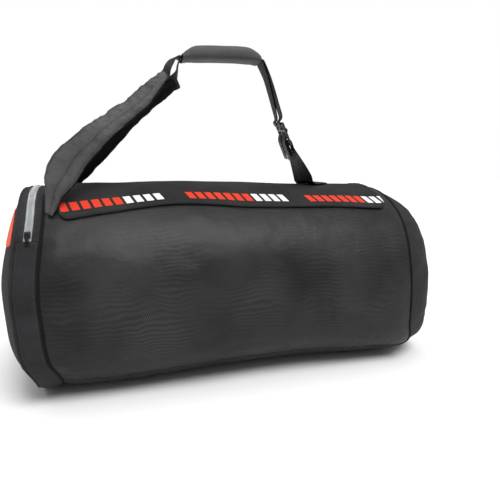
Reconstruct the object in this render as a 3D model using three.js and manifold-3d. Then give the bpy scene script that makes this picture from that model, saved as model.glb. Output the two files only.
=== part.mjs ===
// Mesh dive gear bag: a barrel duffel of fine mesh with a zipped pocket at one end, two
// padded shoulder straps that meet in a wrapped carry handle, and ladder-lock adjusters.
// Millimetres. +X runs along the bag away from the end pocket, +Y to the back, +Z up.
// The origin is the centre of the flat base.
import * as THREE from "three";
import { mergeVertices } from "three/addons/utils/BufferGeometryUtils.js";
import Module from "manifold-3d";

const wasm = await Module();
wasm.setup();

// Overall sizes of the stuffed bag
const bodyLength = 640;
const bagWidth = 380;
const bagHeight = 346;
const waistHeight = 156;
const pocketLength = 36;
const pocketEndBulge = 30;
const farEndBulge = 76;
const handleRise = 244;
const baseSpreadShare = 1.015;

// Cloth, piping and the gaps between sewn pieces
const meshThickness = 1.6;
const clothThickness = 2;
const flapThickness = 2.2;
const stripeThickness = 0.9;
const pipingRadius = 3;
const pipingSunk = 1;
const seamGap = 0.3;
const layerGap = 0.4;
const seamTuckDepth = 4;
const seamTuckReach = 30;

// Where the panels meet, as angles from the top of the section, in degrees
const mouthAngle = 1;
const zipEndAngle = 54;
const baseSeamAngle = 132;

// Flap over the mouth and stripe on the pocket's end
const flapStart = 26;
const flapEnd = 20;
const flapCorner = 18;
const flapCoverAngle = 54;
const stripeTall = 52;
const stripeHeightShare = 0.815;

// Zip of the end pocket
const tapeWidth = 12;
const tapeThickness = 1.2;
const tapeSunk = 0.6;
const teethWidth = 5;
const teethHeight = 1.6;
const sliderAngle = 50.9;
const sliderWidth = 9;
const sliderLength = 10;
const sliderHeight = 3.6;
const earThickness = 1;
const earSpan = 4.4;
const earReach = 2;
const pinHeight = 6.2;
const pinRadius = 0.8;
const hingeClearance = 0.3;
const eyeWall = 0.6;
const pullerLength = 20;
const pullerWidth = 5;
const pullerThickness = 1.4;
const pullerRingRadius = 4;
const pullerHoleRadius = 2;
const pullerClearance = 0.5;

// Straps, webbing, handle wrap and adjusters
const strapThickness = 12;
const webbingWidth = 38;
const webbingThickness = 2;
const webbingSpacing = 0.5;
const webbingStart = 0.9;
const wrapHeight = 27;
const wrapWidth = 50;
const wrapWall = 3.5;
const wrapClearance = 0.3;
const anchorFootLength = 46;
const anchorFootLift = 14;
const barWidth = 5;
const slotLength = 9;
const buckleThickness = 4;
const buckleRail = 5;
const buckleClearance = 1;
const adjusterGap = 4;
const passClearance = 0.8;
const turnInset = 0.5;
const tailLength = 52;
const anchorReturn = 46;

// Sections of the stuffed body from the pocket's seam to the far seam: shares of
// bodyLength, bagHeight and half of bagWidth, and the power of the lower corners
const bodySections = [
  { along: 0, top: 0.998, half: 1, corner: 2.72 },
  { along: 0.16, top: 1, half: 1, corner: 2.9 },
  { along: 0.34, top: 1.01, half: 0.998, corner: 2.6 },
  { along: 0.52, top: 1.004, half: 0.99, corner: 2.45 },
  { along: 0.7, top: 0.992, half: 0.985, corner: 2.5 },
  { along: 0.86, top: 0.986, half: 0.99, corner: 2.9 },
  { along: 1, top: 0.98, half: 0.995, corner: 3.12 },
];

// How far the stuffed body leans along X at each height, both as shares of bagHeight
const leanRows = [
  { height: 0, lean: 0.044 },
  { height: 0.12, lean: 0.058 },
  { height: 0.24, lean: 0.018 },
  { height: 0.4, lean: 0.006 },
  { height: 0.58, lean: 0 },
  { height: 0.84, lean: 0.018 },
  { height: 1, lean: 0.01 },
];

// Half width of the flap along the body: shares of bodyLength and half of bagWidth
const flapRows = [
  { along: 0.05, half: 0.69 },
  { along: 0.14, half: 0.645 },
  { along: 0.32, half: 0.585 },
  { along: 0.55, half: 0.612 },
  { along: 0.75, half: 0.605 },
  { along: 0.95, half: 0.63 },
];

// Edges of the padded straps. Upper and lower edge each have a place along the body, a
// distance across from the middle and a rise above the bag's skin, as shares of
// bodyLength, half of bagWidth and handleRise; thick is a share of strapThickness
const frontStrapRows = [
  { upAlong: 0.016, upAcross: 0.63, upRise: 0.014, lowAlong: 0.034, lowAcross: 0.668, lowRise: 0.014, thick: 0.42 },
  { upAlong: 0.016, upAcross: 0.547, upRise: 0.068, lowAlong: 0.049, lowAcross: 0.637, lowRise: 0.065, thick: 0.67 },
  { upAlong: 0.016, upAcross: 0.5, upRise: 0.116, lowAlong: 0.057, lowAcross: 0.62, lowRise: 0.092, thick: 0.83 },
  { upAlong: 0.016, upAcross: 0.458, upRise: 0.168, lowAlong: 0.075, lowAcross: 0.589, lowRise: 0.133, thick: 0.92 },
  { upAlong: 0.027, upAcross: 0.416, upRise: 0.24, lowAlong: 0.097, lowAcross: 0.547, lowRise: 0.18, thick: 1 },
  { upAlong: 0.052, upAcross: 0.374, upRise: 0.314, lowAlong: 0.117, lowAcross: 0.511, lowRise: 0.244, thick: 1 },
  { upAlong: 0.086, upAcross: 0.326, upRise: 0.377, lowAlong: 0.147, lowAcross: 0.468, lowRise: 0.314, thick: 1 },
  { upAlong: 0.136, upAcross: 0.27, upRise: 0.468, lowAlong: 0.184, lowAcross: 0.42, lowRise: 0.4, thick: 1 },
  { upAlong: 0.184, upAcross: 0.215, upRise: 0.547, lowAlong: 0.228, lowAcross: 0.37, lowRise: 0.48, thick: 1 },
  { upAlong: 0.237, upAcross: 0.155, upRise: 0.628, lowAlong: 0.272, lowAcross: 0.32, lowRise: 0.564, thick: 0.92 },
  { upAlong: 0.291, upAcross: 0.095, upRise: 0.748, lowAlong: 0.31, lowAcross: 0.275, lowRise: 0.67, thick: 0.83 },
  { upAlong: 0.332, upAcross: 0.045, upRise: 0.832, lowAlong: 0.342, lowAcross: 0.205, lowRise: 0.775, thick: 0.5 },
];
const backStrapRows = [
  { upAlong: 0.016, upAcross: 0.63, upRise: 0.014, lowAlong: 0.034, lowAcross: 0.668, lowRise: 0.014, thick: 0.42 },
  { upAlong: 0.016, upAcross: 0.52, upRise: 0.07, lowAlong: 0.05, lowAcross: 0.62, lowRise: 0.065, thick: 0.67 },
  { upAlong: 0.016, upAcross: 0.484, upRise: 0.116, lowAlong: 0.06, lowAcross: 0.592, lowRise: 0.088, thick: 0.83 },
  { upAlong: 0.016, upAcross: 0.453, upRise: 0.176, lowAlong: 0.076, lowAcross: 0.563, lowRise: 0.121, thick: 0.92 },
  { upAlong: 0.026, upAcross: 0.421, upRise: 0.24, lowAlong: 0.103, lowAcross: 0.532, lowRise: 0.175, thick: 1 },
  { upAlong: 0.052, upAcross: 0.389, upRise: 0.306, lowAlong: 0.132, lowAcross: 0.5, lowRise: 0.232, thick: 1 },
  { upAlong: 0.09, upAcross: 0.347, upRise: 0.38, lowAlong: 0.168, lowAcross: 0.453, lowRise: 0.305, thick: 1 },
  { upAlong: 0.139, upAcross: 0.29, upRise: 0.466, lowAlong: 0.206, lowAcross: 0.4, lowRise: 0.392, thick: 1 },
  { upAlong: 0.19, upAcross: 0.235, upRise: 0.56, lowAlong: 0.252, lowAcross: 0.352, lowRise: 0.508, thick: 1 },
  { upAlong: 0.247, upAcross: 0.18, upRise: 0.655, lowAlong: 0.295, lowAcross: 0.308, lowRise: 0.594, thick: 0.92 },
  { upAlong: 0.303, upAcross: 0.13, upRise: 0.748, lowAlong: 0.34, lowAcross: 0.26, lowRise: 0.68, thick: 0.83 },
  { upAlong: 0.36, upAcross: 0.07, upRise: 0.812, lowAlong: 0.388, lowAcross: 0.205, lowRise: 0.765, thick: 0.5 },
];

// Line of the webbing through the handle wrap: shares of bodyLength and handleRise, then
// the sleeve's height over it and depth under it, as shares of wrapHeight, and its half
// width as a share of wrapWidth
const wrapRows = [
  { along: 0.386, rise: 0.923, over: 0.26, under: 0.207, half: 0.472 },
  { along: 0.402, rise: 0.933, over: 0.5, under: 0.222, half: 0.488 },
  { along: 0.422, rise: 0.941, over: 0.69, under: 0.23, half: 0.5 },
  { along: 0.46, rise: 0.951, over: 0.726, under: 0.237, half: 0.5 },
  { along: 0.51, rise: 0.961, over: 0.722, under: 0.237, half: 0.5 },
  { along: 0.56, rise: 0.968, over: 0.748, under: 0.23, half: 0.5 },
  { along: 0.586, rise: 0.968, over: 0.722, under: 0.23, half: 0.5 },
  { along: 0.606, rise: 0.965, over: 0.556, under: 0.222, half: 0.488 },
  { along: 0.622, rise: 0.957, over: 0.296, under: 0.207, half: 0.472 },
];

// Webbing between each padded strap and the wrap: across is towards the strap's own
// side, swing turns the webbing's width in plan, in degrees, and tilt is the rise of
// its width towards the middle
const frontLeadRows = [
  { along: 0.342, across: 0.125, rise: 0.844, swing: -10, tilt: 0.4 },
  { along: 0.353, across: 0.095, rise: 0.888, swing: -8, tilt: 0.28 },
  { along: 0.363, across: 0.06, rise: 0.917, swing: -5, tilt: 0.15 },
  { along: 0.374, across: 0.025, rise: 0.929, swing: -2, tilt: 0.05 },
];
const backLeadRows = [
  { along: 0.3755, across: 0.12, rise: 0.824, swing: -10, tilt: 0.33 },
  { along: 0.377, across: 0.09, rise: 0.858, swing: -8, tilt: 0.24 },
  { along: 0.3785, across: 0.06, rise: 0.889, swing: -5, tilt: 0.15 },
  { along: 0.3805, across: 0.025, rise: 0.911, swing: -2, tilt: 0.05 },
];

// Webbing from the wrap down to the adjusters, both layers on one line: spread moves
// each layer to its own side along its width, as a share of the adjusters' own spread
const dropRows = [
  { along: 0.627, rise: 0.95, spread: 0.02, swing: 1 },
  { along: 0.636, rise: 0.907, spread: 0.085, swing: 3 },
  { along: 0.648, rise: 0.842, spread: 0.175, swing: 6 },
  { along: 0.661, rise: 0.748, spread: 0.35, swing: 8 },
  { along: 0.676, rise: 0.627, spread: 0.56, swing: 10 },
  { along: 0.686, rise: 0.54, spread: 0.83, swing: 12 },
];

// Ladder-lock adjusters and the folded anchor straps below them
const buckleAlongShare = 0.702;
const buckleRiseShare = 0.415;
const buckleSwing = 14;
const buckleLean = 24;
const anchorFootShare = 0.772;
const anchorFootSwing = -24;

// Loose end of the webbing below its adjuster: shares of tailLength and of the height at
// which the webbing passes the bars
const tailRows = [
  { along: 0.23, lift: 2 },
  { along: 0.4, lift: 2.3 },
  { along: 1, lift: 2.4 },
];

// Foot of an anchor strap as it lies down on the flap: shares of anchorFootLength and
// anchorFootLift
const anchorFootRows = [
  { along: 0, lift: 1 },
  { along: 0.09, lift: 0.36 },
  { along: 0.24, lift: 0.07 },
  { along: 0.39, lift: 0 },
  { along: 0.7, lift: 0 },
  { along: 1, lift: 0 },
];

// Distance of each adjuster from the middle, so that the two clear each other
const buckleSpread = webbingWidth / 2 + buckleClearance + buckleRail + adjusterGap / 2;

const radians = THREE.MathUtils.degToRad;
const bagHalf = bagWidth / 2;
const angleStep = 10;
const stationSpans = 14;
const seamStations = [0, 8, 18];

// Value of a named column at a share between the rows, by a smooth curve
function column(rows, key, name, share) {
  const last = rows.length - 1;
  const at = THREE.MathUtils.clamp(share, rows[0][key], rows[last][key]);
  let i = 0;
  while (i < last - 1 && rows[i + 1][key] < at) i += 1;
  const span = rows[i + 1][key] - rows[i][key];
  const t = (at - rows[i][key]) / span;
  const slope = (k) => {
    const low = Math.max(0, k - 1);
    const high = Math.min(last, k + 1);
    return (rows[high][name] - rows[low][name]) / (rows[high][key] - rows[low][key]);
  };
  const square = t * t;
  const cube = square * t;
  return (
    (2 * cube - 3 * square + 1) * rows[i][name] +
    (cube - 2 * square + t) * span * slope(i) +
    (3 * square - 2 * cube) * rows[i + 1][name] +
    (cube - square) * span * slope(i + 1)
  );
}

function lean(z) {
  return bagHeight * column(leanRows, "height", "lean", z / bagHeight);
}

// The skin is drawn in at each seam and full between seams
function tuck(station) {
  const inPocket = station < 0;
  const toSeam = inPocket
    ? Math.min(-station, station + pocketLength)
    : Math.min(station, bodyLength - station);
  const reach = inPocket ? pocketLength / 2 : seamTuckReach;
  const share = THREE.MathUtils.clamp(1 - toSeam / reach, 0, 1);
  return seamTuckDepth * share * share;
}

// Point of the bag's skin: station is the distance from the pocket's seam, angle is
// measured from the top towards the front, depth is inwards
function skinPoint(station, angle, depth) {
  const share = station / bodyLength;
  const sunk = depth + tuck(station);
  const top = bagHeight * column(bodySections, "along", "top", share) - sunk;
  const half = bagHalf * column(bodySections, "along", "half", share) - sunk;
  const power = 2 / column(bodySections, "along", "corner", share);
  const across = Math.sin(angle);
  const up = Math.cos(angle);
  let y = -half * across;
  let z = waistHeight + (top - waistHeight) * up;
  if (up < 0) {
    y = -half * Math.sign(across) * Math.abs(across) ** power;
    z = Math.max(sunk, waistHeight - (waistHeight - sunk) * baseSpreadShare * Math.abs(up) ** power);
  }
  return new THREE.Vector3(station - bodyLength / 2 + lean(z), y, z);
}

// Height of the upper skin under a point given by its station and its y
function skinHeight(station, y) {
  const share = station / bodyLength;
  const top = bagHeight * column(bodySections, "along", "top", share);
  const half = bagHalf * column(bodySections, "along", "half", share);
  const across = THREE.MathUtils.clamp(y / half, -1, 1);
  return waistHeight + (top - waistHeight) * Math.sqrt(1 - across * across);
}

// Point above the skin, from shares as the strap tables give them; side is -1 at the
// front and 1 at the back
function abovePoint(along, across, rise, side) {
  const station = along * bodyLength;
  const y = side * across * bagHalf;
  return new THREE.Vector3(station - bodyLength / 2, y, skinHeight(station, y) + rise * handleRise);
}

// Grid lines: the two ends and every regular line between them
function lines(from, to, step, origin = 0) {
  const list = [from];
  const nearness = step / 6;
  for (let k = Math.ceil((from - origin) / step); origin + k * step < to; k += 1) {
    const line = origin + k * step;
    if (line > from + nearness && line < to - nearness) list.push(line);
  }
  list.push(to);
  return list;
}

function angleLines(from, to) {
  return lines(from, to, angleStep).map(radians);
}

// Body stations: close together at the seams, where the skin is drawn in
function bodyStations(from, to) {
  const nearSeam = seamStations.map((offset) => from + offset);
  const regular = lines(seamTuckReach, bodyLength - seamTuckReach, bodyLength / stationSpans, 0);
  const farSeam = seamStations.map((offset) => to - offset).reverse();
  return [...nearSeam, ...regular, ...farSeam];
}

// Closed solid between an outer and an inner grid of points, rows by columns
function gridSolid(outer, inner, { closedRows = false, closedColumns = false } = {}) {
  const rows = outer.length;
  const columns = outer[0].length;
  const positions = [];
  for (const grid of [outer, inner]) {
    for (const row of grid) for (const point of row) positions.push(point.x, point.y, point.z);
  }
  const index = [];
  const at = (layer, i, j) => layer * rows * columns + (i % rows) * columns + (j % columns);
  const quad = (a, b, c, d) => index.push(a, b, c, a, c, d);
  const rowSpans = closedRows ? rows : rows - 1;
  const columnSpans = closedColumns ? columns : columns - 1;
  for (let i = 0; i < rowSpans; i += 1) {
    for (let j = 0; j < columnSpans; j += 1) {
      quad(at(0, i, j), at(0, i, j + 1), at(0, i + 1, j + 1), at(0, i + 1, j));
      quad(at(1, i, j), at(1, i + 1, j), at(1, i + 1, j + 1), at(1, i, j + 1));
    }
  }
  if (!closedRows) {
    const end = rows - 1;
    for (let j = 0; j < columnSpans; j += 1) {
      quad(at(0, 0, j), at(1, 0, j), at(1, 0, j + 1), at(0, 0, j + 1));
      quad(at(0, end, j), at(0, end, j + 1), at(1, end, j + 1), at(1, end, j));
    }
  }
  if (!closedColumns) {
    const end = columns - 1;
    for (let i = 0; i < rowSpans; i += 1) {
      quad(at(0, i, 0), at(0, i + 1, 0), at(1, i + 1, 0), at(1, i, 0));
      quad(at(0, i, end), at(1, i, end), at(1, i + 1, end), at(0, i + 1, end));
    }
  }
  return tidySolid(positions, index);
}

// Merges shared points, drops triangles that closed up and turns the faces outwards
function tidySolid(positions, index) {
  const geometry = new THREE.BufferGeometry();
  geometry.setAttribute("position", new THREE.Float32BufferAttribute(positions, 3));
  geometry.setIndex(index);
  const merged = mergeVertices(geometry, 1e-4);
  const kept = [];
  const old = merged.index.array;
  for (let i = 0; i < old.length; i += 3) {
    const [a, b, c] = [old[i], old[i + 1], old[i + 2]];
    if (a !== b && b !== c && c !== a) kept.push(a, b, c);
  }
  const at = (k) => new THREE.Vector3().fromBufferAttribute(merged.attributes.position, k);
  let volume = 0;
  for (let i = 0; i < kept.length; i += 3) {
    volume += at(kept[i]).dot(at(kept[i + 1]).cross(at(kept[i + 2])));
  }
  if (volume < 0) {
    for (let i = 0; i < kept.length; i += 3) [kept[i + 1], kept[i + 2]] = [kept[i + 2], kept[i + 1]];
  }
  merged.setIndex(kept);
  return merged;
}

// Closed strip through rows of two edges, with its section as shares of width and thickness
function stripSolid(rows, profile) {
  const middle = rows.map((row) => row.a.clone().add(row.b).multiplyScalar(0.5));
  const sections = rows.map((row, i) => {
    const before = middle[Math.max(0, i - 1)];
    const after = middle[Math.min(rows.length - 1, i + 1)];
    const tangent = row.travel ?? after.clone().sub(before).normalize();
    const width = row.b.clone().sub(row.a);
    const normal = width.clone().cross(tangent).normalize();
    return profile.map(([share, height]) =>
      row.a.clone().addScaledVector(width, share).addScaledVector(normal, height * row.thick),
    );
  });
  const positions = [];
  for (const section of sections) for (const point of section) positions.push(point.x, point.y, point.z);
  const count = profile.length;
  const index = [];
  for (let i = 0; i < rows.length - 1; i += 1) {
    for (let j = 0; j < count; j += 1) {
      const next = (j + 1) % count;
      const [a, b] = [i * count + j, i * count + next];
      index.push(a, b, b + count, a, b + count, a + count);
    }
  }
  const last = (rows.length - 1) * count;
  for (let j = 1; j < count - 1; j += 1) {
    index.push(0, j + 1, j);
    index.push(last, last + j, last + j + 1);
  }
  return tidySolid(positions, index);
}

const padProfile = [
  [0, 0],
  [0.05, 0.36],
  [0.17, 0.5],
  [0.83, 0.5],
  [0.95, 0.36],
  [1, 0],
  [0.95, -0.36],
  [0.83, -0.5],
  [0.17, -0.5],
  [0.05, -0.36],
];
const webProfile = [
  [0, 0.5],
  [1, 0.5],
  [1, -0.5],
  [0, -0.5],
];

// Rows between the given ones, on smooth curves through both edges
function smoothRows(rows, steps) {
  const edgeA = new THREE.CatmullRomCurve3(rows.map((row) => row.a));
  const edgeB = new THREE.CatmullRomCurve3(rows.map((row) => row.b));
  const count = (rows.length - 1) * steps;
  return Array.from({ length: count + 1 }, (_, k) => {
    const i = Math.min(Math.floor(k / steps), rows.length - 2);
    const t = k / steps - i;
    const thick = THREE.MathUtils.lerp(rows[i].thick, rows[i + 1].thick, t);
    return { a: edgeA.getPoint(k / count), b: edgeB.getPoint(k / count), thick };
  });
}

// Direction of travel at one row of a path
function travelAt(path, i) {
  const before = path[Math.max(0, i - 1)].centre;
  const after = path[Math.min(path.length - 1, i + 1)].centre;
  return after.clone().sub(before).normalize();
}

// Direction of a webbing's width: swing turns it in plan, slope is its rise towards the back
function widthAt(swing, slope = 0) {
  const sideways = Math.cos(radians(swing));
  return new THREE.Vector3(Math.sin(radians(swing)), sideways, sideways * slope).normalize();
}

// The same direction, made square to the webbing's travel
function acrossAt({ swing, slope }, travel) {
  const across = widthAt(swing, slope);
  return across.addScaledVector(travel, -across.dot(travel)).normalize();
}

// Rows of two edges for a webbing along a path; a row may fix its travel or its width's
// direction itself
function webbingRows(path) {
  return path.map((row, i) => {
    const travel = row.travel ?? travelAt(path, i);
    const across = row.across ?? acrossAt(row, travel);
    const a = row.centre.clone().addScaledVector(across, -webbingWidth / 2);
    const b = row.centre.clone().addScaledVector(across, webbingWidth / 2);
    return { a, b, thick: webbingThickness, travel };
  });
}

// Manifold solids for the pieces that are cut or joined
function toManifold(geometry) {
  const bare = geometry.clone();
  bare.deleteAttribute("normal");
  bare.deleteAttribute("uv");
  const merged = mergeVertices(bare, 1e-4);
  const mesh = new wasm.Mesh({
    numProp: 3,
    vertProperties: new Float32Array(merged.attributes.position.array),
    triVerts: new Uint32Array(merged.index.array),
  });
  return new wasm.Manifold(mesh);
}

function fromManifold(solid) {
  const mesh = solid.getMesh();
  const geometry = new THREE.BufferGeometry();
  geometry.setAttribute("position", new THREE.BufferAttribute(mesh.vertProperties, 3));
  geometry.setIndex(new THREE.BufferAttribute(mesh.triVerts, 1));
  return geometry;
}

function box(sizeX, sizeY, sizeZ, x, y, z) {
  return new THREE.BoxGeometry(sizeX, sizeY, sizeZ).translate(x, y, z);
}

const finishes = {
  mesh: { color: 0x3a3a3b, roughness: 0.85, metalness: 0 },
  cloth: { color: 0x2e2e30, roughness: 0.8, metalness: 0 },
  padding: { color: 0x4c4c4e, roughness: 0.85, metalness: 0 },
  wrap: { color: 0x565658, roughness: 0.8, metalness: 0 },
  webbing: { color: 0x161617, roughness: 0.75, metalness: 0 },
  piping: { color: 0x1d1d1f, roughness: 0.6, metalness: 0 },
  tape: { color: 0xa9abad, roughness: 0.6, metalness: 0 },
  teeth: { color: 0x8b8d90, roughness: 0.4, metalness: 0 },
  slider: { color: 0x1a1a1b, roughness: 0.35, metalness: 0.5 },
  buckle: { color: 0x151516, roughness: 0.4, metalness: 0 },
  stripe: { color: 0xf0552a, roughness: 0.5, metalness: 0 },
};

const bag = new THREE.Group();

function add(name, geometry, finish, parent = bag) {
  const mesh = new THREE.Mesh(geometry, new THREE.MeshStandardMaterial(finishes[finish]));
  mesh.name = name;
  parent.add(mesh);
  return mesh;
}

// Panel of the skin between two grids of stations and angles
function skinPanel(stations, angles, outerDepth, thickness) {
  const grid = (depth) => stations.map((station) => angles.map((angle) => skinPoint(station, angle, depth)));
  return gridSolid(grid(outerDepth), grid(outerDepth + thickness));
}

// Angle that leaves the seam gap between two panels which meet along the bag
const gapDegrees = THREE.MathUtils.radToDeg(seamGap / bagHalf);
const clothStart = pipingRadius + seamGap;
const stations = bodyStations(clothStart, bodyLength - clothStart);

// Mesh walls, the base panel and the flap over the mouth
const wallAngles = angleLines(mouthAngle, baseSeamAngle - gapDegrees);
const backAngles = wallAngles.map((angle) => -angle).reverse();
add("mesh_wall_front", skinPanel(stations, wallAngles, 0, meshThickness), "mesh");
add("mesh_wall_back", skinPanel(stations, backAngles, 0, meshThickness), "mesh");
add(
  "base_panel",
  skinPanel(stations, angleLines(baseSeamAngle, 360 - baseSeamAngle), 0, clothThickness),
  "cloth",
);

function flapOutline() {
  const start = flapStart - bodyLength / 2;
  const end = bodyLength / 2 - flapEnd;
  const halfAt = (along) => bagHalf * column(flapRows, "along", "half", along);
  const shape = new THREE.Shape();
  const startHalf = halfAt(flapRows[0].along);
  const endHalf = halfAt(flapRows[flapRows.length - 1].along);
  shape.moveTo(start, startHalf - flapCorner);
  shape.lineTo(start, flapCorner - startHalf);
  shape.quadraticCurveTo(start, -startHalf, start + flapCorner, -startHalf);
  const inner = flapRows.slice(1, -1);
  for (const row of inner) shape.lineTo(row.along * bodyLength - bodyLength / 2, -row.half * bagHalf);
  shape.lineTo(end - flapCorner, -endHalf);
  shape.quadraticCurveTo(end, -endHalf, end, flapCorner - endHalf);
  shape.lineTo(end, endHalf - flapCorner);
  shape.quadraticCurveTo(end, endHalf, end - flapCorner, endHalf);
  for (const row of inner.reverse()) shape.lineTo(row.along * bodyLength - bodyLength / 2, row.half * bagHalf);
  shape.lineTo(start + flapCorner, startHalf);
  shape.quadraticCurveTo(start, startHalf, start, startHalf - flapCorner);
  return shape;
}

function makeFlap() {
  const flapAngles = angleLines(-flapCoverAngle, flapCoverAngle);
  const depth = -(layerGap + flapThickness);
  const cover = skinPanel(stations, flapAngles, depth, flapThickness);
  const cutter = new THREE.ExtrudeGeometry(flapOutline(), { depth: bagHeight, bevelEnabled: false, curveSegments: 6 });
  cutter.translate(0, 0, waistHeight);
  return fromManifold(toManifold(cover).intersect(toManifold(cutter)));
}
add("mouth_flap", makeFlap(), "cloth");

// Piping rings at the seams
function pipingRing(station) {
  const sides = 6;
  const around = angleLines(0, 360).slice(0, -1);
  const positions = [];
  for (const angle of around) {
    const centre = skinPoint(station, angle, pipingSunk);
    const inward = skinPoint(station, angle, pipingSunk + pipingRadius).sub(centre).normalize();
    centre.z = Math.max(centre.z, pipingRadius);
    for (let k = 0; k < sides; k += 1) {
      const turn = ((k + 0.5) / sides) * 2 * Math.PI;
      const point = centre.clone().addScaledVector(inward, pipingRadius * Math.cos(turn));
      point.x += pipingRadius * Math.sin(turn);
      positions.push(point.x, point.y, point.z);
    }
  }
  const index = [];
  for (let i = 0; i < around.length; i += 1) {
    for (let k = 0; k < sides; k += 1) {
      const a = i * sides + k;
      const b = i * sides + ((k + 1) % sides);
      const c = ((i + 1) % around.length) * sides + ((k + 1) % sides);
      const d = ((i + 1) % around.length) * sides + k;
      index.push(a, b, c, a, c, d);
    }
  }
  return tidySolid(positions, index);
}
add("pocket_seam_piping", pipingRing(0), "piping");
add("pocket_end_piping", pipingRing(-pocketLength), "piping");
add("far_seam_piping", pipingRing(bodyLength), "piping");

// Gussets of the end pocket, with its zip over the top
const zipMiddle = -pocketLength / 2;
const tapeInner = zipMiddle + tapeWidth / 2;
const tapeOuter = zipMiddle - tapeWidth / 2;
const zipAngles = angleLines(-zipEndAngle, zipEndAngle);
const innerStrip = [tapeInner + seamGap, (tapeInner - clothStart) / 2, -clothStart];
const outerStrip = [clothStart - pocketLength, (tapeOuter + clothStart - pocketLength) / 2, tapeOuter - seamGap];
add("pocket_strip_inner", skinPanel(innerStrip, zipAngles, 0, clothThickness), "cloth");
add("pocket_strip_outer", skinPanel(outerStrip, zipAngles, 0, clothThickness), "cloth");
const lowerStations = [clothStart - pocketLength, -pocketLength * 0.75, zipMiddle, -pocketLength * 0.25, -clothStart];
add(
  "pocket_gusset",
  skinPanel(lowerStations, angleLines(zipEndAngle + gapDegrees, 360 - zipEndAngle - gapDegrees), 0, clothThickness),
  "cloth",
);
add("zip_tape", skinPanel([tapeOuter, zipMiddle, tapeInner], zipAngles, tapeSunk, tapeThickness), "tape");
const teethDepth = tapeSunk - seamGap - teethHeight;
const teethStations = [zipMiddle - teethWidth / 2, zipMiddle, zipMiddle + teethWidth / 2];
add("zip_teeth", skinPanel(teethStations, zipAngles, teethDepth, teethHeight), "teeth");

// Domed end panels, held inside the piping rings
const panelShares = [0, 0.3, 0.55, 0.75, 0.88, 0.96, 1];
const panelFullness = 4;
const farPanelShares = [0, 0.4, 0.65, 0.82, 0.92, 0.975, 1];
const farPanelFullness = 9;
const panelSeat = pipingSunk + pipingRadius + seamGap;

function panelPoint(end, share, angle, lift) {
  const { station, bulge, fullness, seat } = end;
  const rim = skinPoint(station, angle, seat);
  const y = rim.y * share;
  const z = waistHeight + (rim.z - waistHeight) * share;
  const x = station - bodyLength / 2 + lean(z);
  return new THREE.Vector3(x + bulge * (1 - share ** fullness) + lift, y, z);
}

function panelGrid(end, shares, lift) {
  const around = angleLines(0, 360).slice(0, -1);
  return shares.map((share) => around.map((angle) => panelPoint(end, share, angle, lift)));
}

const pocketEnd = { station: -pocketLength, bulge: -pocketEndBulge, fullness: panelFullness, seat: panelSeat };
function pocketEndLayer(shares, lift, thickness) {
  return gridSolid(panelGrid(pocketEnd, shares, lift), panelGrid(pocketEnd, shares, lift + thickness), { closedColumns: true });
}
add("pocket_end_panel", pocketEndLayer(panelShares, -clothThickness / 2, clothThickness), "cloth");

// The far end is stuffed fuller, so its wall is set between two nested domes
function farEndGrid(inset) {
  const end = { station: bodyLength, bulge: farEndBulge - inset, fullness: farPanelFullness, seat: panelSeat + inset };
  return panelGrid(end, farPanelShares, 0);
}
add("far_end_panel", gridSolid(farEndGrid(clothThickness), farEndGrid(0), { closedColumns: true }), "cloth");

function makeStripe() {
  const lift = -clothThickness / 2 - layerGap - stripeThickness;
  const cover = pocketEndLayer(panelShares.slice(0, -1), lift, stripeThickness);
  const reach = pocketLength + pocketEndBulge;
  const middle = stripeHeightShare * bagHeight;
  const cutter = box(4 * reach, 2 * bagWidth, stripeTall, -bodyLength / 2 - reach, 0, middle);
  return fromManifold(toManifold(cover).intersect(toManifold(cutter)));
}
add("pocket_end_stripe", makeStripe(), "stripe");

// Zip slider and its hinged puller, in a frame on the tape: Y up the zip, Z outwards
const sliderSeat = skinPoint(zipMiddle, radians(sliderAngle), tapeSunk);
const sliderOut = sliderSeat.clone().sub(skinPoint(zipMiddle, radians(sliderAngle), tapeSunk + tapeThickness));
sliderOut.normalize();
const zipFrame = new THREE.Group();
zipFrame.position.copy(sliderSeat);
zipFrame.rotation.x = Math.atan2(-sliderOut.y, sliderOut.z);
bag.add(zipFrame);

function makeSlider() {
  const channelHalf = teethWidth / 2 + seamGap;
  const channelTop = 2 * seamGap + teethHeight;
  const chamfer = 0.8;
  const half = sliderWidth / 2;
  const arch = new THREE.Shape();
  arch.moveTo(-half, seamGap);
  arch.lineTo(-channelHalf, seamGap);
  arch.lineTo(-channelHalf, channelTop);
  arch.lineTo(channelHalf, channelTop);
  arch.lineTo(channelHalf, seamGap);
  arch.lineTo(half, seamGap);
  arch.lineTo(half, sliderHeight - chamfer);
  arch.lineTo(half - chamfer, sliderHeight);
  arch.lineTo(chamfer - half, sliderHeight);
  arch.lineTo(-half, sliderHeight - chamfer);
  const block = new THREE.ExtrudeGeometry(arch, { depth: sliderLength, bevelEnabled: false });
  block.rotateX(Math.PI / 2).translate(0, sliderLength / 2, 0);
  const earTop = pinHeight + pinRadius;
  const earTall = earTop - sliderHeight + 0.4;
  let solid = toManifold(block);
  for (const side of [-1, 1]) {
    const x = side * (earSpan + earThickness) / 2;
    solid = solid.add(toManifold(box(earThickness, 2 * earReach, earTall, x, 0, earTop - earTall / 2)));
  }
  const pin = new THREE.CylinderGeometry(pinRadius, pinRadius, earSpan + earThickness, 12);
  pin.rotateZ(Math.PI / 2).translate(0, 0, pinHeight);
  return fromManifold(solid.add(toManifold(pin)));
}
add("zip_slider", makeSlider(), "slider", zipFrame);

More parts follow.
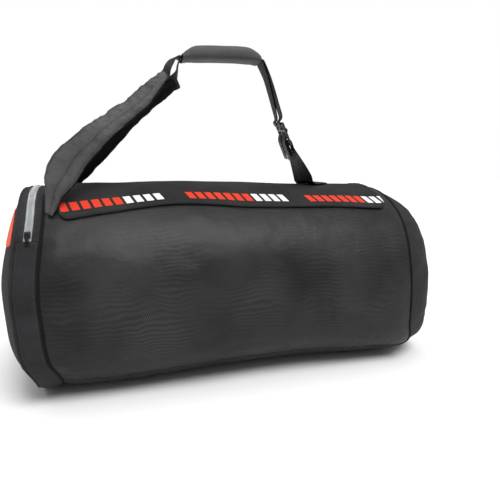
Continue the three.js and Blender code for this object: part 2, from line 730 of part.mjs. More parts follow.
function makePuller() {
  const bore = pinRadius + hingeClearance;
  const eyeRadius = bore + eyeWall;
  const eyeWidth = earSpan - 2 * hingeClearance;
  const neck = eyeWidth / 2;
  const neckEnd = earReach + pinRadius + 2 * hingeClearance;
  const ringCentre = -(pullerLength - pullerRingRadius);
  const eye = new THREE.Shape().absarc(0, 0, eyeRadius, 0, 2 * Math.PI);
  eye.holes.push(new THREE.Path().absarc(0, 0, bore, 0, 2 * Math.PI, true));
  const eyeSolid = new THREE.ExtrudeGeometry(eye, { depth: eyeWidth, bevelEnabled: false, curveSegments: 8 });
  eyeSolid.translate(0, 0, -eyeWidth / 2).rotateY(Math.PI / 2);
  const tab = new THREE.Shape();
  const tabStart = -(bore + eyeWall / 3);
  const half = pullerWidth / 2;
  const join = Math.acos(half / pullerRingRadius);
  tab.moveTo(neck, tabStart);
  tab.lineTo(-neck, tabStart);
  tab.lineTo(-neck, -neckEnd);
  tab.lineTo(-half, -neckEnd - 1);
  tab.absarc(0, ringCentre, pullerRingRadius, Math.PI - join, 2 * Math.PI + join, false);
  tab.lineTo(half, -neckEnd - 1);
  tab.lineTo(neck, -neckEnd);
  tab.holes.push(new THREE.Path().absarc(0, ringCentre, pullerHoleRadius, 0, 2 * Math.PI, true));
  const tabSolid = new THREE.ExtrudeGeometry(tab, { depth: pullerThickness, bevelEnabled: false, curveSegments: 10 });
  tabSolid.translate(0, 0, -pullerThickness / 2);
  return fromManifold(toManifold(eyeSolid).add(toManifold(tabSolid)));
}
// The puller rests with its end just clear of the gusset
const restAngle = radians(sliderAngle) + pullerLength / bagHalf;
const restSeat = skinPoint(zipMiddle, restAngle, 0).sub(sliderSeat).dot(sliderOut);
const pullerFall = pinHeight - restSeat - pullerClearance - pullerThickness / 2;
const pullerFrame = new THREE.Group();
pullerFrame.position.z = pinHeight;
pullerFrame.rotation.x = Math.asin(pullerFall / pullerLength);
zipFrame.add(pullerFrame);
add("zip_puller", makePuller(), "slider", pullerFrame);

// Padded shoulder straps
function strapRows(table, side) {
  return table.map((row) => ({
    a: abovePoint(row.upAlong, row.upAcross, row.upRise, side),
    b: abovePoint(row.lowAlong, row.lowAcross, row.lowRise, side),
    thick: row.thick * strapThickness,
  }));
}
add("front_shoulder_strap", stripSolid(smoothRows(strapRows(frontStrapRows, -1), 2), padProfile), "padding");
add("back_shoulder_strap", stripSolid(smoothRows(strapRows(backStrapRows, 1), 2), padProfile), "padding");

// Handle wrap: a padded sleeve around the two webbings
function wrapCentre(row) {
  return abovePoint(row.along, 0, row.rise, 1);
}

function makeWrap() {
  const channelRoom = 1.1;
  const channel = channelRoom * (webbingThickness + webbingSpacing / 2 + wrapClearance);
  const sides = 16;
  const outerCorner = 2.6;
  const channelCorner = 14;
  const ring = (row, over, under, wide, power) => {
    const centre = wrapCentre(row);
    return Array.from({ length: sides }, (_, k) => {
      const turn = ((k + 0.5) / sides) * 2 * Math.PI;
      const across = Math.cos(turn);
      const up = Math.sin(turn);
      const y = wide * Math.sign(across) * Math.abs(across) ** (2 / power);
      const z = (up > 0 ? over : -under) * Math.abs(up) ** (2 / power);
      return new THREE.Vector3(centre.x, centre.y + y, centre.z + z);
    });
  };
  const outer = wrapRows.map((row) =>
    ring(row, row.over * wrapHeight, row.under * wrapHeight, row.half * wrapWidth, outerCorner),
  );
  const inner = wrapRows.map((row) => ring(row, channel, channel, row.half * wrapWidth - wrapWall, channelCorner));
  return gridSolid(outer, inner, { closedColumns: true });
}
add("handle_wrap", makeWrap(), "wrap");

// Frame of an adjuster: down along the strap, across its width and out of its face
function buckleFrame(side) {
  const down = new THREE.Vector3(Math.sin(radians(buckleLean)), 0, -Math.cos(radians(buckleLean)));
  const across = new THREE.Vector3(Math.sin(radians(buckleSwing)), Math.cos(radians(buckleSwing)), 0);
  across.addScaledVector(down, -across.dot(down)).normalize();
  const out = new THREE.Vector3().crossVectors(down, across).normalize();
  const centre = abovePoint(buckleAlongShare, 0, buckleRiseShare, 1);
  centre.addScaledVector(across, side * buckleSpread);
  const place = (along, height) => centre.clone().addScaledVector(down, along).addScaledVector(out, height);
  return { down, across, out, centre, place };
}

const barPitch = barWidth + slotLength;
const bars = [-1.5 * barPitch, -0.5 * barPitch, 0.5 * barPitch, 1.5 * barPitch];
const passHeight = buckleThickness / 2 + webbingThickness / 2 + passClearance;

// Webbing from the end of a padded strap through the wrap and its adjuster; the front
// one lies over the back one
function webbingPath(side, strap, leadRows) {
  const layer = -side * (webbingThickness + webbingSpacing) / 2;
  const end = strap[strap.length - 1];
  const ends = strap.slice(-2).map((row) => ({ centre: row.a.clone().add(row.b).multiplyScalar(0.5) }));
  const outOfStrap = travelAt(ends, 1);
  const start = {
    centre: ends[1].centre.clone().addScaledVector(outOfStrap, webbingStart),
    across: end.b.clone().sub(end.a).multiplyScalar(side).normalize(),
    travel: outOfStrap,
  };
  const lead = leadRows.map((row) => ({
    centre: abovePoint(row.along, row.across, row.rise, side),
    across: widthAt(-side * row.swing, -side * row.tilt),
  }));
  const inWrap = wrapRows.map((row) => ({ centre: wrapCentre(row), swing: 0, spread: 0 }));
  const shared = [
    ...inWrap,
    ...dropRows.map((row) => ({
      centre: abovePoint(row.along, 0, row.rise, 1),
      swing: row.swing,
      spread: row.spread * buckleSpread,
    })),
  ];
  const layered = shared.map((row, i) => {
    const travel = travelAt(i < inWrap.length ? inWrap : shared, i);
    const across = acrossAt(row, travel);
    const out = travel.clone().cross(across);
    const centre = row.centre.clone().addScaledVector(out, layer).addScaledVector(across, side * row.spread);
    return { centre, across, travel };
  });
  const { place, across } = buckleFrame(side);
  const threads = [
    [bars[0] - barWidth, -passHeight],
    [bars[0] + barWidth / 2, -passHeight],
    [bars[0] + barPitch / 2, 0],
    [bars[1] - barWidth / 2 + turnInset, passHeight],
    [bars[1] + barWidth / 2 - turnInset, passHeight],
    [0, 0],
    [slotLength / 2, -passHeight],
    ...tailRows.map((row) => [row.along * tailLength, -row.lift * passHeight]),
  ];
  const weave = threads.map(([along, height]) => ({ centre: place(along, height), across }));
  return [start, ...lead, ...layered, ...weave];
}
const frontWebbing = webbingPath(-1, strapRows(frontStrapRows, -1), frontLeadRows);
const backWebbing = webbingPath(1, strapRows(backStrapRows, 1), backLeadRows);
add("front_webbing", stripSolid(webbingRows(frontWebbing), webProfile), "webbing");
add("back_webbing", stripSolid(webbingRows(backWebbing), webProfile), "webbing");

// Ladder-lock adjusters: a frame with four bars
function makeBuckle(side) {
  const { down, across, out, centre } = buckleFrame(side);
  const slotHalf = webbingWidth / 2 + buckleClearance;
  const halfWide = slotHalf + buckleRail;
  const halfLong = 1.5 * barPitch + barWidth / 2;
  const corner = 3;
  const outline = new THREE.Shape();
  outline.moveTo(corner - halfWide, -halfLong);
  outline.lineTo(halfWide - corner, -halfLong);
  outline.quadraticCurveTo(halfWide, -halfLong, halfWide, corner - halfLong);
  outline.lineTo(halfWide, halfLong - corner);
  outline.quadraticCurveTo(halfWide, halfLong, halfWide - corner, halfLong);
  outline.lineTo(corner - halfWide, halfLong);
  outline.quadraticCurveTo(-halfWide, halfLong, -halfWide, halfLong - corner);
  outline.lineTo(-halfWide, corner - halfLong);
  outline.quadraticCurveTo(-halfWide, -halfLong, corner - halfWide, -halfLong);
  for (const middle of [-barPitch, 0, barPitch]) {
    const low = middle - slotLength / 2;
    const high = middle + slotLength / 2;
    const slot = new THREE.Path();
    slot.moveTo(-slotHalf, low);
    slot.lineTo(-slotHalf, high);
    slot.lineTo(slotHalf, high);
    slot.lineTo(slotHalf, low);
    slot.closePath();
    outline.holes.push(slot);
  }
  const solid = new THREE.ExtrudeGeometry(outline, { depth: buckleThickness, bevelEnabled: false, curveSegments: 3 });
  solid.translate(0, 0, -buckleThickness / 2);
  const turn = new THREE.Matrix4().makeBasis(across, down, out.clone().negate()).setPosition(centre);
  solid.applyMatrix4(turn);
  solid.deleteAttribute("normal");
  solid.deleteAttribute("uv");
  const merged = mergeVertices(solid, 1e-4);
  return tidySolid(Array.from(merged.attributes.position.array), Array.from(merged.index.array));
}
add("front_adjuster", makeBuckle(-1), "buckle");
add("back_adjuster", makeBuckle(1), "buckle");

// Anchor straps: folded round the last bar and sewn flat on the flap
function anchorPath(side) {
  const { place, down, across } = buckleFrame(side);
  const lastBar = bars[3];
  const foldSetback = 1.2;
  const foldRise = 0.9 * passHeight;
  const topReach = 2.2 * barWidth;
  const footSag = webbingWidth ** 2 / (8 * (bagHeight - waistHeight));
  const footHeight = layerGap + flapThickness + seamGap + webbingThickness / 2 + footSag;
  const footSwing = radians(anchorFootSwing);
  const footWay = new THREE.Vector3(Math.cos(footSwing), -Math.sin(footSwing), 0);
  const footStart = new THREE.Vector3(anchorFootShare * bodyLength - bodyLength / 2, 0, 0);
  footStart.addScaledVector(across, side * buckleSpread);
  const onFlap = (distance, lift) => {
    const point = footStart.clone().addScaledVector(footWay, distance);
    point.z = skinHeight(point.x + bodyLength / 2, point.y) + footHeight + lift;
    return point;
  };
  const footRow = (distance, lift) => {
    const centre = onFlap(distance, lift);
    const station = centre.x + bodyLength / 2;
    const slope = (skinHeight(station, centre.y + 1) - skinHeight(station, centre.y - 1)) / 2;
    return { centre, swing: anchorFootSwing, slope };
  };
  const top = place(lastBar + topReach, passHeight);
  const low = onFlap(0, anchorFootLift);
  const between = (share) => ({
    centre: top.clone().lerp(low, share),
    swing: THREE.MathUtils.lerp(buckleSwing, anchorFootSwing, share),
  });
  return [
    { centre: place(anchorReturn, -passHeight), across },
    { centre: place(lastBar + barWidth / 2, -passHeight), across },
    { centre: place(barPitch + foldSetback, -foldRise), across },
    { centre: place(barPitch, 0), across },
    { centre: place(barPitch + foldSetback, foldRise), across },
    { centre: place(lastBar + barWidth / 2, passHeight), across },
    { centre: top, across },
    between(1 / 3),
    between(2 / 3),
    ...anchorFootRows.map((row) => footRow(row.along * anchorFootLength, row.lift * anchorFootLift)),
  ];
}
add("front_anchor_strap", stripSolid(webbingRows(anchorPath(-1)), webProfile), "webbing");
add("back_anchor_strap", stripSolid(webbingRows(anchorPath(1)), webProfile), "webbing");

export default bag;
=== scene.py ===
import math
import bmesh
import bpy
from mathutils import Matrix, Vector, noise


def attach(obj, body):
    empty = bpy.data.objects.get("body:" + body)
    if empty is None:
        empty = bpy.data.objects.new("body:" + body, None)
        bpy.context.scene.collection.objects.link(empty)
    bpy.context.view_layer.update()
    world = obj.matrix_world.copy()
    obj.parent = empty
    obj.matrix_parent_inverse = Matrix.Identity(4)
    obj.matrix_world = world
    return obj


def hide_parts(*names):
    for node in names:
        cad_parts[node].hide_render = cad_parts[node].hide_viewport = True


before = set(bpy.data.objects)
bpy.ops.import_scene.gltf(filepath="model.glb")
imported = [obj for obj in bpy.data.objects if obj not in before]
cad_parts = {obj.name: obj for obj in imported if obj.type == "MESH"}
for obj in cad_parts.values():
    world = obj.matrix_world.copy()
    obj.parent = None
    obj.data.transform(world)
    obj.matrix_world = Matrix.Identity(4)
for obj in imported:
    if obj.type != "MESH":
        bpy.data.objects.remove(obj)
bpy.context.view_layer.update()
print("frame loaded:", len(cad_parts), "nodes")

# Sizes of the stuffed bag in millimetres and degrees, as in the solids. Each of its sections
# gives the place along it, height, width and power of the lower half, as shares.
bag = {
    "length": 640, "width": 380, "height": 346, "waist": 156, "pocket": 36,
    "pocketBulge": 30, "farBulge": 76, "handleRise": 244, "baseSpread": 1.015,
    "tuckDepth": 4, "tuckReach": 30, "mouthAngle": 1, "zipEnd": 54, "baseSeam": 132,
    "piping": 3, "pipingSunk": 1, "gap": 0.3, "tucked": 1.6, "layer": 0.4,
    "sag": 8, "sagAngle": 142, "sagSpread": 19,
    "sections": [
        (0, 0.998, 1, 2.72), (0.16, 1, 1, 2.9), (0.34, 1.01, 0.998, 2.6), (0.52, 1.004, 0.99, 2.45),
        (0.7, 0.992, 0.985, 2.5), (0.86, 0.986, 0.99, 2.9), (1, 0.98, 0.995, 3.12),
    ],
    "lean": [
        (0, 0.044), (0.12, 0.058), (0.24, 0.018), (0.4, 0.006), (0.58, 0), (0.84, 0.018), (1, 0.01),
    ],
}
half = bag["width"] / 2
mm = 0.001


def column(rows, place, share):
    last = len(rows) - 1
    at = min(max(share, rows[0][0]), rows[last][0])
    i = 0
    while i < last - 1 and rows[i + 1][0] < at:
        i += 1
    span = rows[i + 1][0] - rows[i][0]
    t = (at - rows[i][0]) / span

    def slope(k):
        low, high = max(0, k - 1), min(last, k + 1)
        return (rows[high][place] - rows[low][place]) / (rows[high][0] - rows[low][0])

    square, cube = t * t, t * t * t
    return (
        (2 * cube - 3 * square + 1) * rows[i][place]
        + (cube - 2 * square + t) * span * slope(i)
        + (3 * square - 2 * cube) * rows[i + 1][place]
        + (cube - square) * span * slope(i + 1)
    )


def ease(low, high, value):
    share = min(max((value - low) / (high - low), 0), 1)
    return share * share * (3 - 2 * share)


def powered(value, power):
    return math.copysign(abs(value) ** power, value)


def leanAt(z):
    return bag["height"] * column(bag["lean"], 1, z / bag["height"])


def seamDistance(station):
    return min(abs(station), abs(station + bag["pocket"]), abs(bag["length"] - station))


def skinPoint(station, angle, depth):
    share = station / bag["length"]
    reach = bag["pocket"] / 2 if station < 0 else bag["tuckReach"]
    drawn = min(max(1 - seamDistance(station) / reach, 0), 1)
    sunk = depth + bag["tuckDepth"] * drawn * drawn
    top = bag["height"] * column(bag["sections"], 1, share) - sunk
    wide = half * column(bag["sections"], 2, share) - sunk
    power = 2 / column(bag["sections"], 3, share)
    across, up = math.sin(angle), math.cos(angle)
    y = -wide * across
    z = bag["waist"] + (top - bag["waist"]) * up
    if up < 0:
        fromCorner = abs(math.degrees(math.atan2(across, up))) - bag["sagAngle"]
        corner = math.exp(-((fromCorner / bag["sagSpread"]) ** 2))
        wide += bag["sag"] * corner * ease(6, -bag["pocket"], station)
        y = -wide * powered(across, power)
        low = bag["waist"] - (bag["waist"] - sunk) * bag["baseSpread"] * abs(up) ** power
        z = max(sunk, low)
    return Vector((station - bag["length"] / 2 + leanAt(z), y, z))


def skinOut(station, angle, depth=0):
    return (skinPoint(station, angle, depth) - skinPoint(station, angle, depth + 2)).normalized()


# Soft dents and puckers of the stuffed cloth, none at a seam nor where the bag lies on the
# floor: millimetres outwards, then the two wave lengths
folds = {
    "broad": (2.6, 170, 120), "fine": (0.9, 70, 34), "pucker": (1.5, 9, 50), "hem": (1.5, 13, 60),
    "pull": (1.1, 16, 120), "puckerReach": 16, "hemReach": 14, "pullReach": 110, "slant": 0.7,
    "puckerStart": 5, "seamClear": 12, "floorClear": (2, 45),
}


def ruffle(first, second, third):
    return noise.noise(Vector((first, second, third)))


def fold(kind, first, second, seed):
    tall, firstWave, secondWave = folds[kind]
    return tall * ruffle(first / firstWave, second / secondWave, seed)


def foldAt(station, angle, height):
    around = angle * half
    toSeam = seamDistance(station)
    toBase = abs(math.degrees(abs(angle)) - bag["baseSeam"]) * math.radians(1) * half
    broad = fold("broad", station, around, 3.1)
    fine = fold("fine", station, around, 7.7)
    pucker = math.exp(-toSeam / folds["puckerReach"]) * fold("pucker", around, station, 1.3)
    hem = math.exp(-toBase / folds["hemReach"]) * fold("hem", station, around, 5.9)
    slanted = around + station * folds["slant"]
    pull = math.exp(-abs(station) / folds["pullReach"]) * fold("pull", slanted, station, 9.4)
    total = (broad + fine + pull + hem) * ease(0, folds["seamClear"], toSeam)
    total += pucker * ease(0, folds["puckerStart"], toSeam)
    return total * ease(*folds["floorClear"], height)


def clothPoint(station, angle, depth):
    point = skinPoint(station, angle, depth)
    return point + skinOut(station, angle, depth) * foldAt(station, angle, point.z)


# Angles run from the top of the bag, up to half a turn either way
def wrapped(angle):
    return angle if angle <= math.pi else angle - 2 * math.pi


# Builders: every piece is made of a bmesh, named, given its body and material, and linked
def linkObject(name, data):
    made = bpy.data.objects.new(name, data)
    bpy.context.scene.collection.objects.link(made)
    return made


def meshFrom(bm, name):
    mesh = bpy.data.meshes.new(name)
    bm.to_mesh(mesh)
    bm.free()
    return mesh


def addObject(name, bm, material, nodes=(), smooth=True):
    for face in bm.faces:
        face.smooth = smooth
    piece = linkObject(name, meshFrom(bm, name))
    piece.data.materials.append(material)
    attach(piece, "puller" if name.startswith("zip_tab") else "bag")
    if nodes:
        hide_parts(*nodes)
    return piece


def clothGrid(steps, place, closed=False, inside=None, held=None):
    bm = bmesh.new()
    threads = bm.loops.layers.uv.new("threads")
    weights = bm.verts.layers.deform.verify() if held else None
    bmesh.ops.create_grid(bm, x_segments=steps[0], y_segments=steps[1], size=0.5, calc_uvs=True)
    flat = {}
    for vert in bm.verts:
        point, cut = place(vert.co.x + 0.5, vert.co.y + 0.5)
        flat[vert] = (cut[0] * mm, cut[1] * mm)
        if held:
            vert[weights][0], vert[weights][1] = held(vert.co.x + 0.5, vert.co.y + 0.5)
        vert.co = point * mm
    for face in bm.faces:
        for loop in face.loops:
            loop[threads].uv = flat[loop.vert]
    if closed:
        bmesh.ops.remove_doubles(bm, verts=bm.verts, dist=1e-6)
        bmesh.ops.recalc_face_normals(bm, faces=bm.faces)
    elif inside is not None:
        bm.normal_update()
        bm.faces.ensure_lookup_table()
        sample = bm.faces[len(bm.faces) // 2]
        if sample.normal.dot(sample.calc_center_median() - Vector(inside) * mm) < 0:
            bmesh.ops.reverse_faces(bm, faces=bm.faces)
    return bm


def closeEnds(bm):
    rims = [edge for edge in bm.edges if edge.is_boundary]
    bmesh.ops.holes_fill(bm, edges=rims)
    bmesh.ops.recalc_face_normals(bm, faces=bm.faces)


def thicken(piece, wall):
    skin = piece.modifiers.new("wall", "SOLIDIFY")
    skin.thickness = wall * mm
    skin.offset = -1
    skin.use_even_offset = False
    return piece


def clothPanel(name, steps, place, inside, cover, node, thick):
    bm = clothGrid(steps, place, inside=inside)
    return thicken(addObject(name, bm, cover, [node]), thick)


def runsAlong(points):
    runs = [0]
    for a, b in zip(points, points[1:]):
        runs.append(runs[-1] + (b - a).length)
    return runs


# Cut size of a sewn panel, measured along its two middle lines
def declareSheet(place):
    steps = [k / 60 for k in range(61)]
    width = runsAlong([place(0.5, k)[0] for k in steps])[-1] * mm
    length = runsAlong([place(k, 0.5)[0] for k in steps])[-1] * mm


# Stitches are sewn as short spindles of thread, one object for each row or group
thread = {"pitch": 5, "long": 3.5, "thick": 0.62, "proud": 0.12}


def oneStitch():
    bm = bmesh.new()
    bmesh.ops.create_uvsphere(bm, u_segments=6, v_segments=4, radius=1)
    return meshFrom(bm, "stitch")


def addCopy(bm, shape, centre, arrows, sizes):
    turn = Matrix.Identity(4)
    for axis, (arrow, size) in enumerate(zip(arrows, sizes)):
        for row in range(3):
            turn[row][axis] = arrow[row] * size / 2 * mm
    for row in range(3):
        turn[row][3] = centre[row] * mm
    copy = shape.copy()
    copy.transform(turn)
    bm.from_mesh(copy)
    bpy.data.meshes.remove(copy)


def sew(name, lines, material):
    bm = bmesh.new()
    shape = oneStitch()
    sizes = (thread["long"], thread["thick"], thread["thick"])
    for points, normals in lines:
        run = runsAlong(points)
        count = int(run[-1] / thread["pitch"])
        k = 0
        for n in range(count):
            at = (n + 0.5) * run[-1] / count
            while k < len(run) - 2 and run[k + 1] < at:
                k += 1
            share = (at - run[k]) / max(run[k + 1] - run[k], 1e-6)
            centre = points[k].lerp(points[k + 1], share)
            way = (points[k + 1] - points[k]).normalized()
            out = normals[k].lerp(normals[k + 1], share)
            out = (out - way * out.dot(way)).normalized()
            addCopy(bm, shape, centre + out * thread["proud"], (way, out.cross(way), out), sizes)
    bpy.data.meshes.remove(shape)
    return addObject(name, bm, material)


# Materials take their colours as sRGB hex values
def linear(code, shade=1):
    parts = [int(code[k:k + 2], 16) / 255 for k in (1, 3, 5)]
    parts = [c / 12.92 if c <= 0.04045 else ((c + 0.055) / 1.055) ** 2.4 for c in parts]
    return [c * shade for c in parts] + [1]


# A link's source is a socket, or a node whose first output is meant
def addNode(tree, kind, settings=None, links=None):
    node = tree.nodes.new("ShaderNode" + kind)
    for key, value in (settings or {}).items():
        if isinstance(key, int) or key in node.inputs:
            node.inputs[key].default_value = value
        else:
            setattr(node, key, value)
    for key, source in (links or {}).items():
        socket = source.outputs[0] if isinstance(source, bpy.types.Node) else source
        tree.links.new(socket, node.inputs[key])
    return node


def newMaterial(name, **shader):
    material = bpy.data.materials.new(name)
    material.use_nodes = True
    tree = material.node_tree
    surface = tree.nodes["Principled BSDF"]
    for key, value in shader.items():
        surface.inputs[key.replace("_", " ")].default_value = value
    return material, tree, surface


# Two tones of one cloth, paler where it is rubbed
def rubbedTone(tree, spot, look, patches):
    fade = addNode(tree, "TexNoise", patches, {"Vector": spot})
    shade = addNode(tree, "MapRange", {"From Min": 0.3, "From Max": 0.7}, {"Value": fade})
    tones = {"data_type": "RGBA", 6: linear(look["dark"]), 7: linear(look["light"])}
    return addNode(tree, "Mix", tones, {0: shade}).outputs[2]


# Threads that stand out by a fraction of a millimetre, over wider crumples of the cloth
def clothRelief(tree, surface, spot, threads, proud, look, crumples):
    bump = addNode(tree, "Bump", {"Strength": look["bump"], "Distance": proud * mm}, {"Height": threads})
    rumple = addNode(tree, "TexNoise", crumples, {"Vector": spot})
    depth = {"Strength": 1, "Distance": look["crumple"] * mm}
    creased = addNode(tree, "Bump", depth, {"Height": rumple, "Normal": bump})
    tree.links.new(creased.outputs[0], surface.inputs["Normal"])


# Plain weave of two thread directions on the piece's own thread map. A 600 denier thread
# is about 0.5 mm wide, too fine to show, so it is drawn at the given spacing.
def wovenCloth(name, look):
    material, tree, surface = newMaterial(
        name, Roughness=look["rough"], Specular_IOR_Level=look["gloss"], Sheen_Weight=look["sheen"],
        Sheen_Roughness=0.4,
    )
    cut = addNode(tree, "UVMap", {"uv_map": "threads"})
    axes = addNode(tree, "SeparateXYZ", links={0: cut})
    waves = []
    for k in range(2):
        turns = 2 * math.pi / (look["spacing"][k] * mm)
        angle = addNode(tree, "Math", {"operation": "MULTIPLY", 1: turns}, {0: axes.outputs[k]})
        waves.append(addNode(tree, "Math", {"operation": "SINE"}, {0: angle}))
    weave = addNode(tree, "Math", {"operation": "MULTIPLY"}, {0: waves[0], 1: waves[1]})
    spot = addNode(tree, "TexCoord").outputs["Object"]
    base = rubbedTone(tree, spot, look, {"Scale": 14, "Detail": 4, "Roughness": 0.6})
    shown = {"From Min": -1, "From Max": 1, "To Min": 1 - look["grain"], "To Max": 1 + look["grain"]}
    grain = addNode(tree, "MapRange", shown, {"Value": weave})
    lit = addNode(tree, "VectorMath", {"operation": "SCALE"}, {0: base, "Scale": grain})
    slub = addNode(tree, "TexNoise", {"Scale": 900, "Detail": 2}, {"Vector": spot})
    high = addNode(tree, "Math", {"operation": "MULTIPLY_ADD", 1: 0.6}, {0: slub, 2: weave})
    crumples = {"Scale": 70, "Detail": 4, "Roughness": 0.55, "Distortion": 0.6}
    clothRelief(tree, surface, spot, high, 0.4, look, crumples)
    tree.links.new(lit.outputs[0], surface.inputs["Base Color"])
    return material, tree, surface, axes, lit


# Coated Oxford polyester, woven: a dark matt face that greys a little where it is rubbed
oxford = wovenCloth("oxfordPolyester", {
    "dark": "#18181a", "light": "#2c2c2e", "spacing": (1.5, 1.5), "grain": 0.22, "bump": 0.5,
    "rough": 0.72, "gloss": 0.2, "sheen": 0.02, "crumple": 0.8,
})[0]
# The straps' face is the same cloth over foam, stretched and therefore paler
strapCloth = wovenCloth("oxfordOverFoam", {
    "dark": "#1e1e20", "light": "#3e3e40", "spacing": (1.5, 1.5), "grain": 0.2, "bump": 0.5,
    "rough": 0.5, "gloss": 0.5, "sheen": 0.03, "crumple": 2.6,
})[0]
# Brushed nylon of the handle wrap, soft and the palest of the dark cloths
wrapCloth = wovenCloth("brushedNylon", {
    "dark": "#3a3a3c", "light": "#4d4d4f", "spacing": (1.3, 1.3), "grain": 0.12, "bump": 0.35,
    "rough": 0.65, "gloss": 0.3, "sheen": 0.04, "crumple": 0.6,
})[0]
# Bias-cut binding of the piping and the pads, tighter and almost black: a dark cloth, darkened further as
# painted shade of the seam groove
bindingPaintedShade = wovenCloth("biasBindingPaintedShade", {
    "dark": "#0c0c0d", "light": "#171718", "spacing": (1.2, 1.2), "grain": 0.15, "bump": 0.35,
    "rough": 0.75, "gloss": 0.12, "sheen": 0, "crumple": 0.2,
})[0]
# Polypropylene webbing, woven with ribs across its width: black with a slight gloss
webbingWeave = wovenCloth("polypropyleneWebbing", {
    "dark": "#0b0b0c", "light": "#19191b", "spacing": (2.4, 1.7), "grain": 0.4, "bump": 0.8,
    "rough": 0.5, "gloss": 0.25, "sheen": 0, "crumple": 0.2,
})[0]
# Lining on the inner face of the straps: black, matt and open, a real lining darkened further as painted
# shade of the straps' shadowed inner side
liningPaintedShade = wovenCloth("polyesterLiningPaintedShade", {
    "dark": "#0f0f10", "light": "#1b1b1c", "spacing": (2, 2), "grain": 0.3, "bump": 0.6,
    "rough": 0.85, "gloss": 0.1, "sheen": 0, "crumple": 1.2,
})[0]
# Zip tape of twill-woven polyester in pale grey, which catches the light
tapeCloth = wovenCloth("twillTape", {
    "dark": "#707375", "light": "#aeb1b3", "spacing": (1.1, 1.1), "grain": 0.12, "bump": 0.4,
    "rough": 0.5, "gloss": 0.3, "sheen": 0.05, "crumple": 1,
})[0]


# Warp-knit polyester mesh: small round holes in a diamond lattice, 2.6 mm apart, which
# read as dark dots between paler threads; their near-black is painted shade of the bag's inside
def knitMesh(name, look):
    material, tree, surface = newMaterial(name, Roughness=look["rough"], Specular_IOR_Level=look["gloss"])
    cut = addNode(tree, "UVMap", {"uv_map": "threads"})
    lattice = {"Rotation": (0, 0, math.radians(45)), "Scale": (1 / (look["pitch"] * mm),) * 3}
    turned = addNode(tree, "Mapping", lattice, {"Vector": cut})
    dots = {"voronoi_dimensions": "2D", "Scale": 1, "Randomness": 0}
    holes = addNode(tree, "TexVoronoi", dots, {"Vector": turned})
    rim = {
        "interpolation_type": "SMOOTHSTEP", "From Min": look["hole"] - look["blur"],
        "From Max": look["hole"] + look["blur"],
    }
    body = addNode(tree, "MapRange", rim, {"Value": holes})
    spot = addNode(tree, "TexCoord").outputs["Object"]
    yarn = rubbedTone(tree, spot, look, {"Scale": 9, "Detail": 3, "Roughness": 0.55})
    # The holes take the near-black inside colour, painted shade of the bag's interior
    colour = addNode(tree, "Mix", {"data_type": "RGBA", 6: linear(look["inside"])}, {0: body, 7: yarn})
    # The knit shows faint wavy bands along the bag, stronger in some patches than in others
    sway = addNode(tree, "TexNoise", {"Scale": 16, "Detail": 2}, {"Vector": spot})
    patches = addNode(tree, "TexNoise", {"Scale": 11, "Detail": 2}, {"Vector": spot})
    axes = addNode(tree, "SeparateXYZ", links={0: cut})
    swing = {"operation": "MULTIPLY_ADD", 1: look["sway"] * mm}
    bent = addNode(tree, "Math", swing, {0: sway, 2: axes.outputs[1]})
    ripple = {"operation": "MULTIPLY", 1: 2 * math.pi / (look["ripple"] * mm)}
    turns = addNode(tree, "Math", ripple, {0: bent})
    wave = addNode(tree, "Math", {"operation": "SINE"}, {0: turns})
    depth = {"From Min": 0.4, "From Max": 0.62, "To Min": 0.02, "To Max": look["rippleDepth"]}
    strength = addNode(tree, "MapRange", depth, {"Value": patches})
    gain = addNode(tree, "Math", {"operation": "MULTIPLY_ADD", 2: 1}, {0: wave, 1: strength})
    banded = addNode(tree, "VectorMath", {"operation": "SCALE"}, {0: colour.outputs[2], "Scale": gain})
    crumples = {"Scale": 38, "Detail": 3, "Roughness": 0.5, "Distortion": 0.4}
    clothRelief(tree, surface, spot, body, 0.6, look, crumples)
    tree.links.new(banded.outputs[0], surface.inputs["Base Color"])
    return material


# Its inside colour is painted shade, seen through the holes
meshKnit = knitMesh("warpKnitPolyester", {
    "dark": "#19191a", "light": "#333334", "inside": "#0a0a0b", "pitch": 2.6, "hole": 0.3, "blur": 0.08,
    "bump": 0.5, "rough": 0.4, "gloss": 0.2, "crumple": 1.5,
    "ripple": 7.4, "sway": 30, "rippleDepth": 0.3,
})


# Moulded acetal, enamelled zinc and plain thread: a fine grain over one colour
def moulded(name, colour, rough, grain, metal=0):
    material, tree, surface = newMaterial(name, Roughness=rough, Metallic=metal)
    spot = addNode(tree, "TexCoord").outputs["Object"]
    speck = addNode(tree, "TexNoise", {"Scale": 1 / (grain * mm), "Detail": 3}, {"Vector": spot})
    tones = {"data_type": "RGBA", 6: linear(colour, 0.8), 7: linear(colour)}
    tone = addNode(tree, "Mix", tones, {0: speck})
    bump = addNode(tree, "Bump", {"Strength": 0.25, "Distance": 0.2 * mm}, {"Height": speck})
    tree.links.new(tone.outputs[2], surface.inputs["Base Color"])
    tree.links.new(bump.outputs[0], surface.inputs["Normal"])
    return material


acetal = moulded("acetalMoulded", "#161617", 0.42, 0.7)
zinc = moulded("enamelledZinc", "#1a1a1b", 0.3, 1.5, 0.6)
coil = moulded("nylonCoil", "#c4c7c9", 0.3, 0.9)
bondedThread = moulded("bondedThread", "#3c3c3e", 0.55, 0.5)
paleThread = moulded("bondedThreadPale", "#6b6b6e", 0.55, 0.5)
strapThread = moulded("bondedThreadBlack", "#1c1c1e", 0.6, 0.5)

# Smooth printed polyurethane of the stripe: bright, slightly glossy, with a fine weave
# under it
stripeFilm = wovenCloth("printedPolyurethane", {
    "dark": "#e04a22", "light": "#ee5a30", "spacing": (1.5, 1.5), "grain": 0.05, "bump": 0.25,
    "rough": 0.45, "gloss": 0.4, "sheen": 0, "crumple": 0.5,
})[0]


# The flap is Oxford cloth with a row of plain slanting bars in red and white ink near its
# long edges: groups of bars along the flap, with a bare space after each group
printRow = {
    "low": 14, "high": 35, "pitch": 17, "fill": 0.7, "period": 226, "first": 15, "red": 119, "end": 187,
    "slant": 0.3, "redInk": "#d8381f", "whiteInk": "#e2e2e2",
}


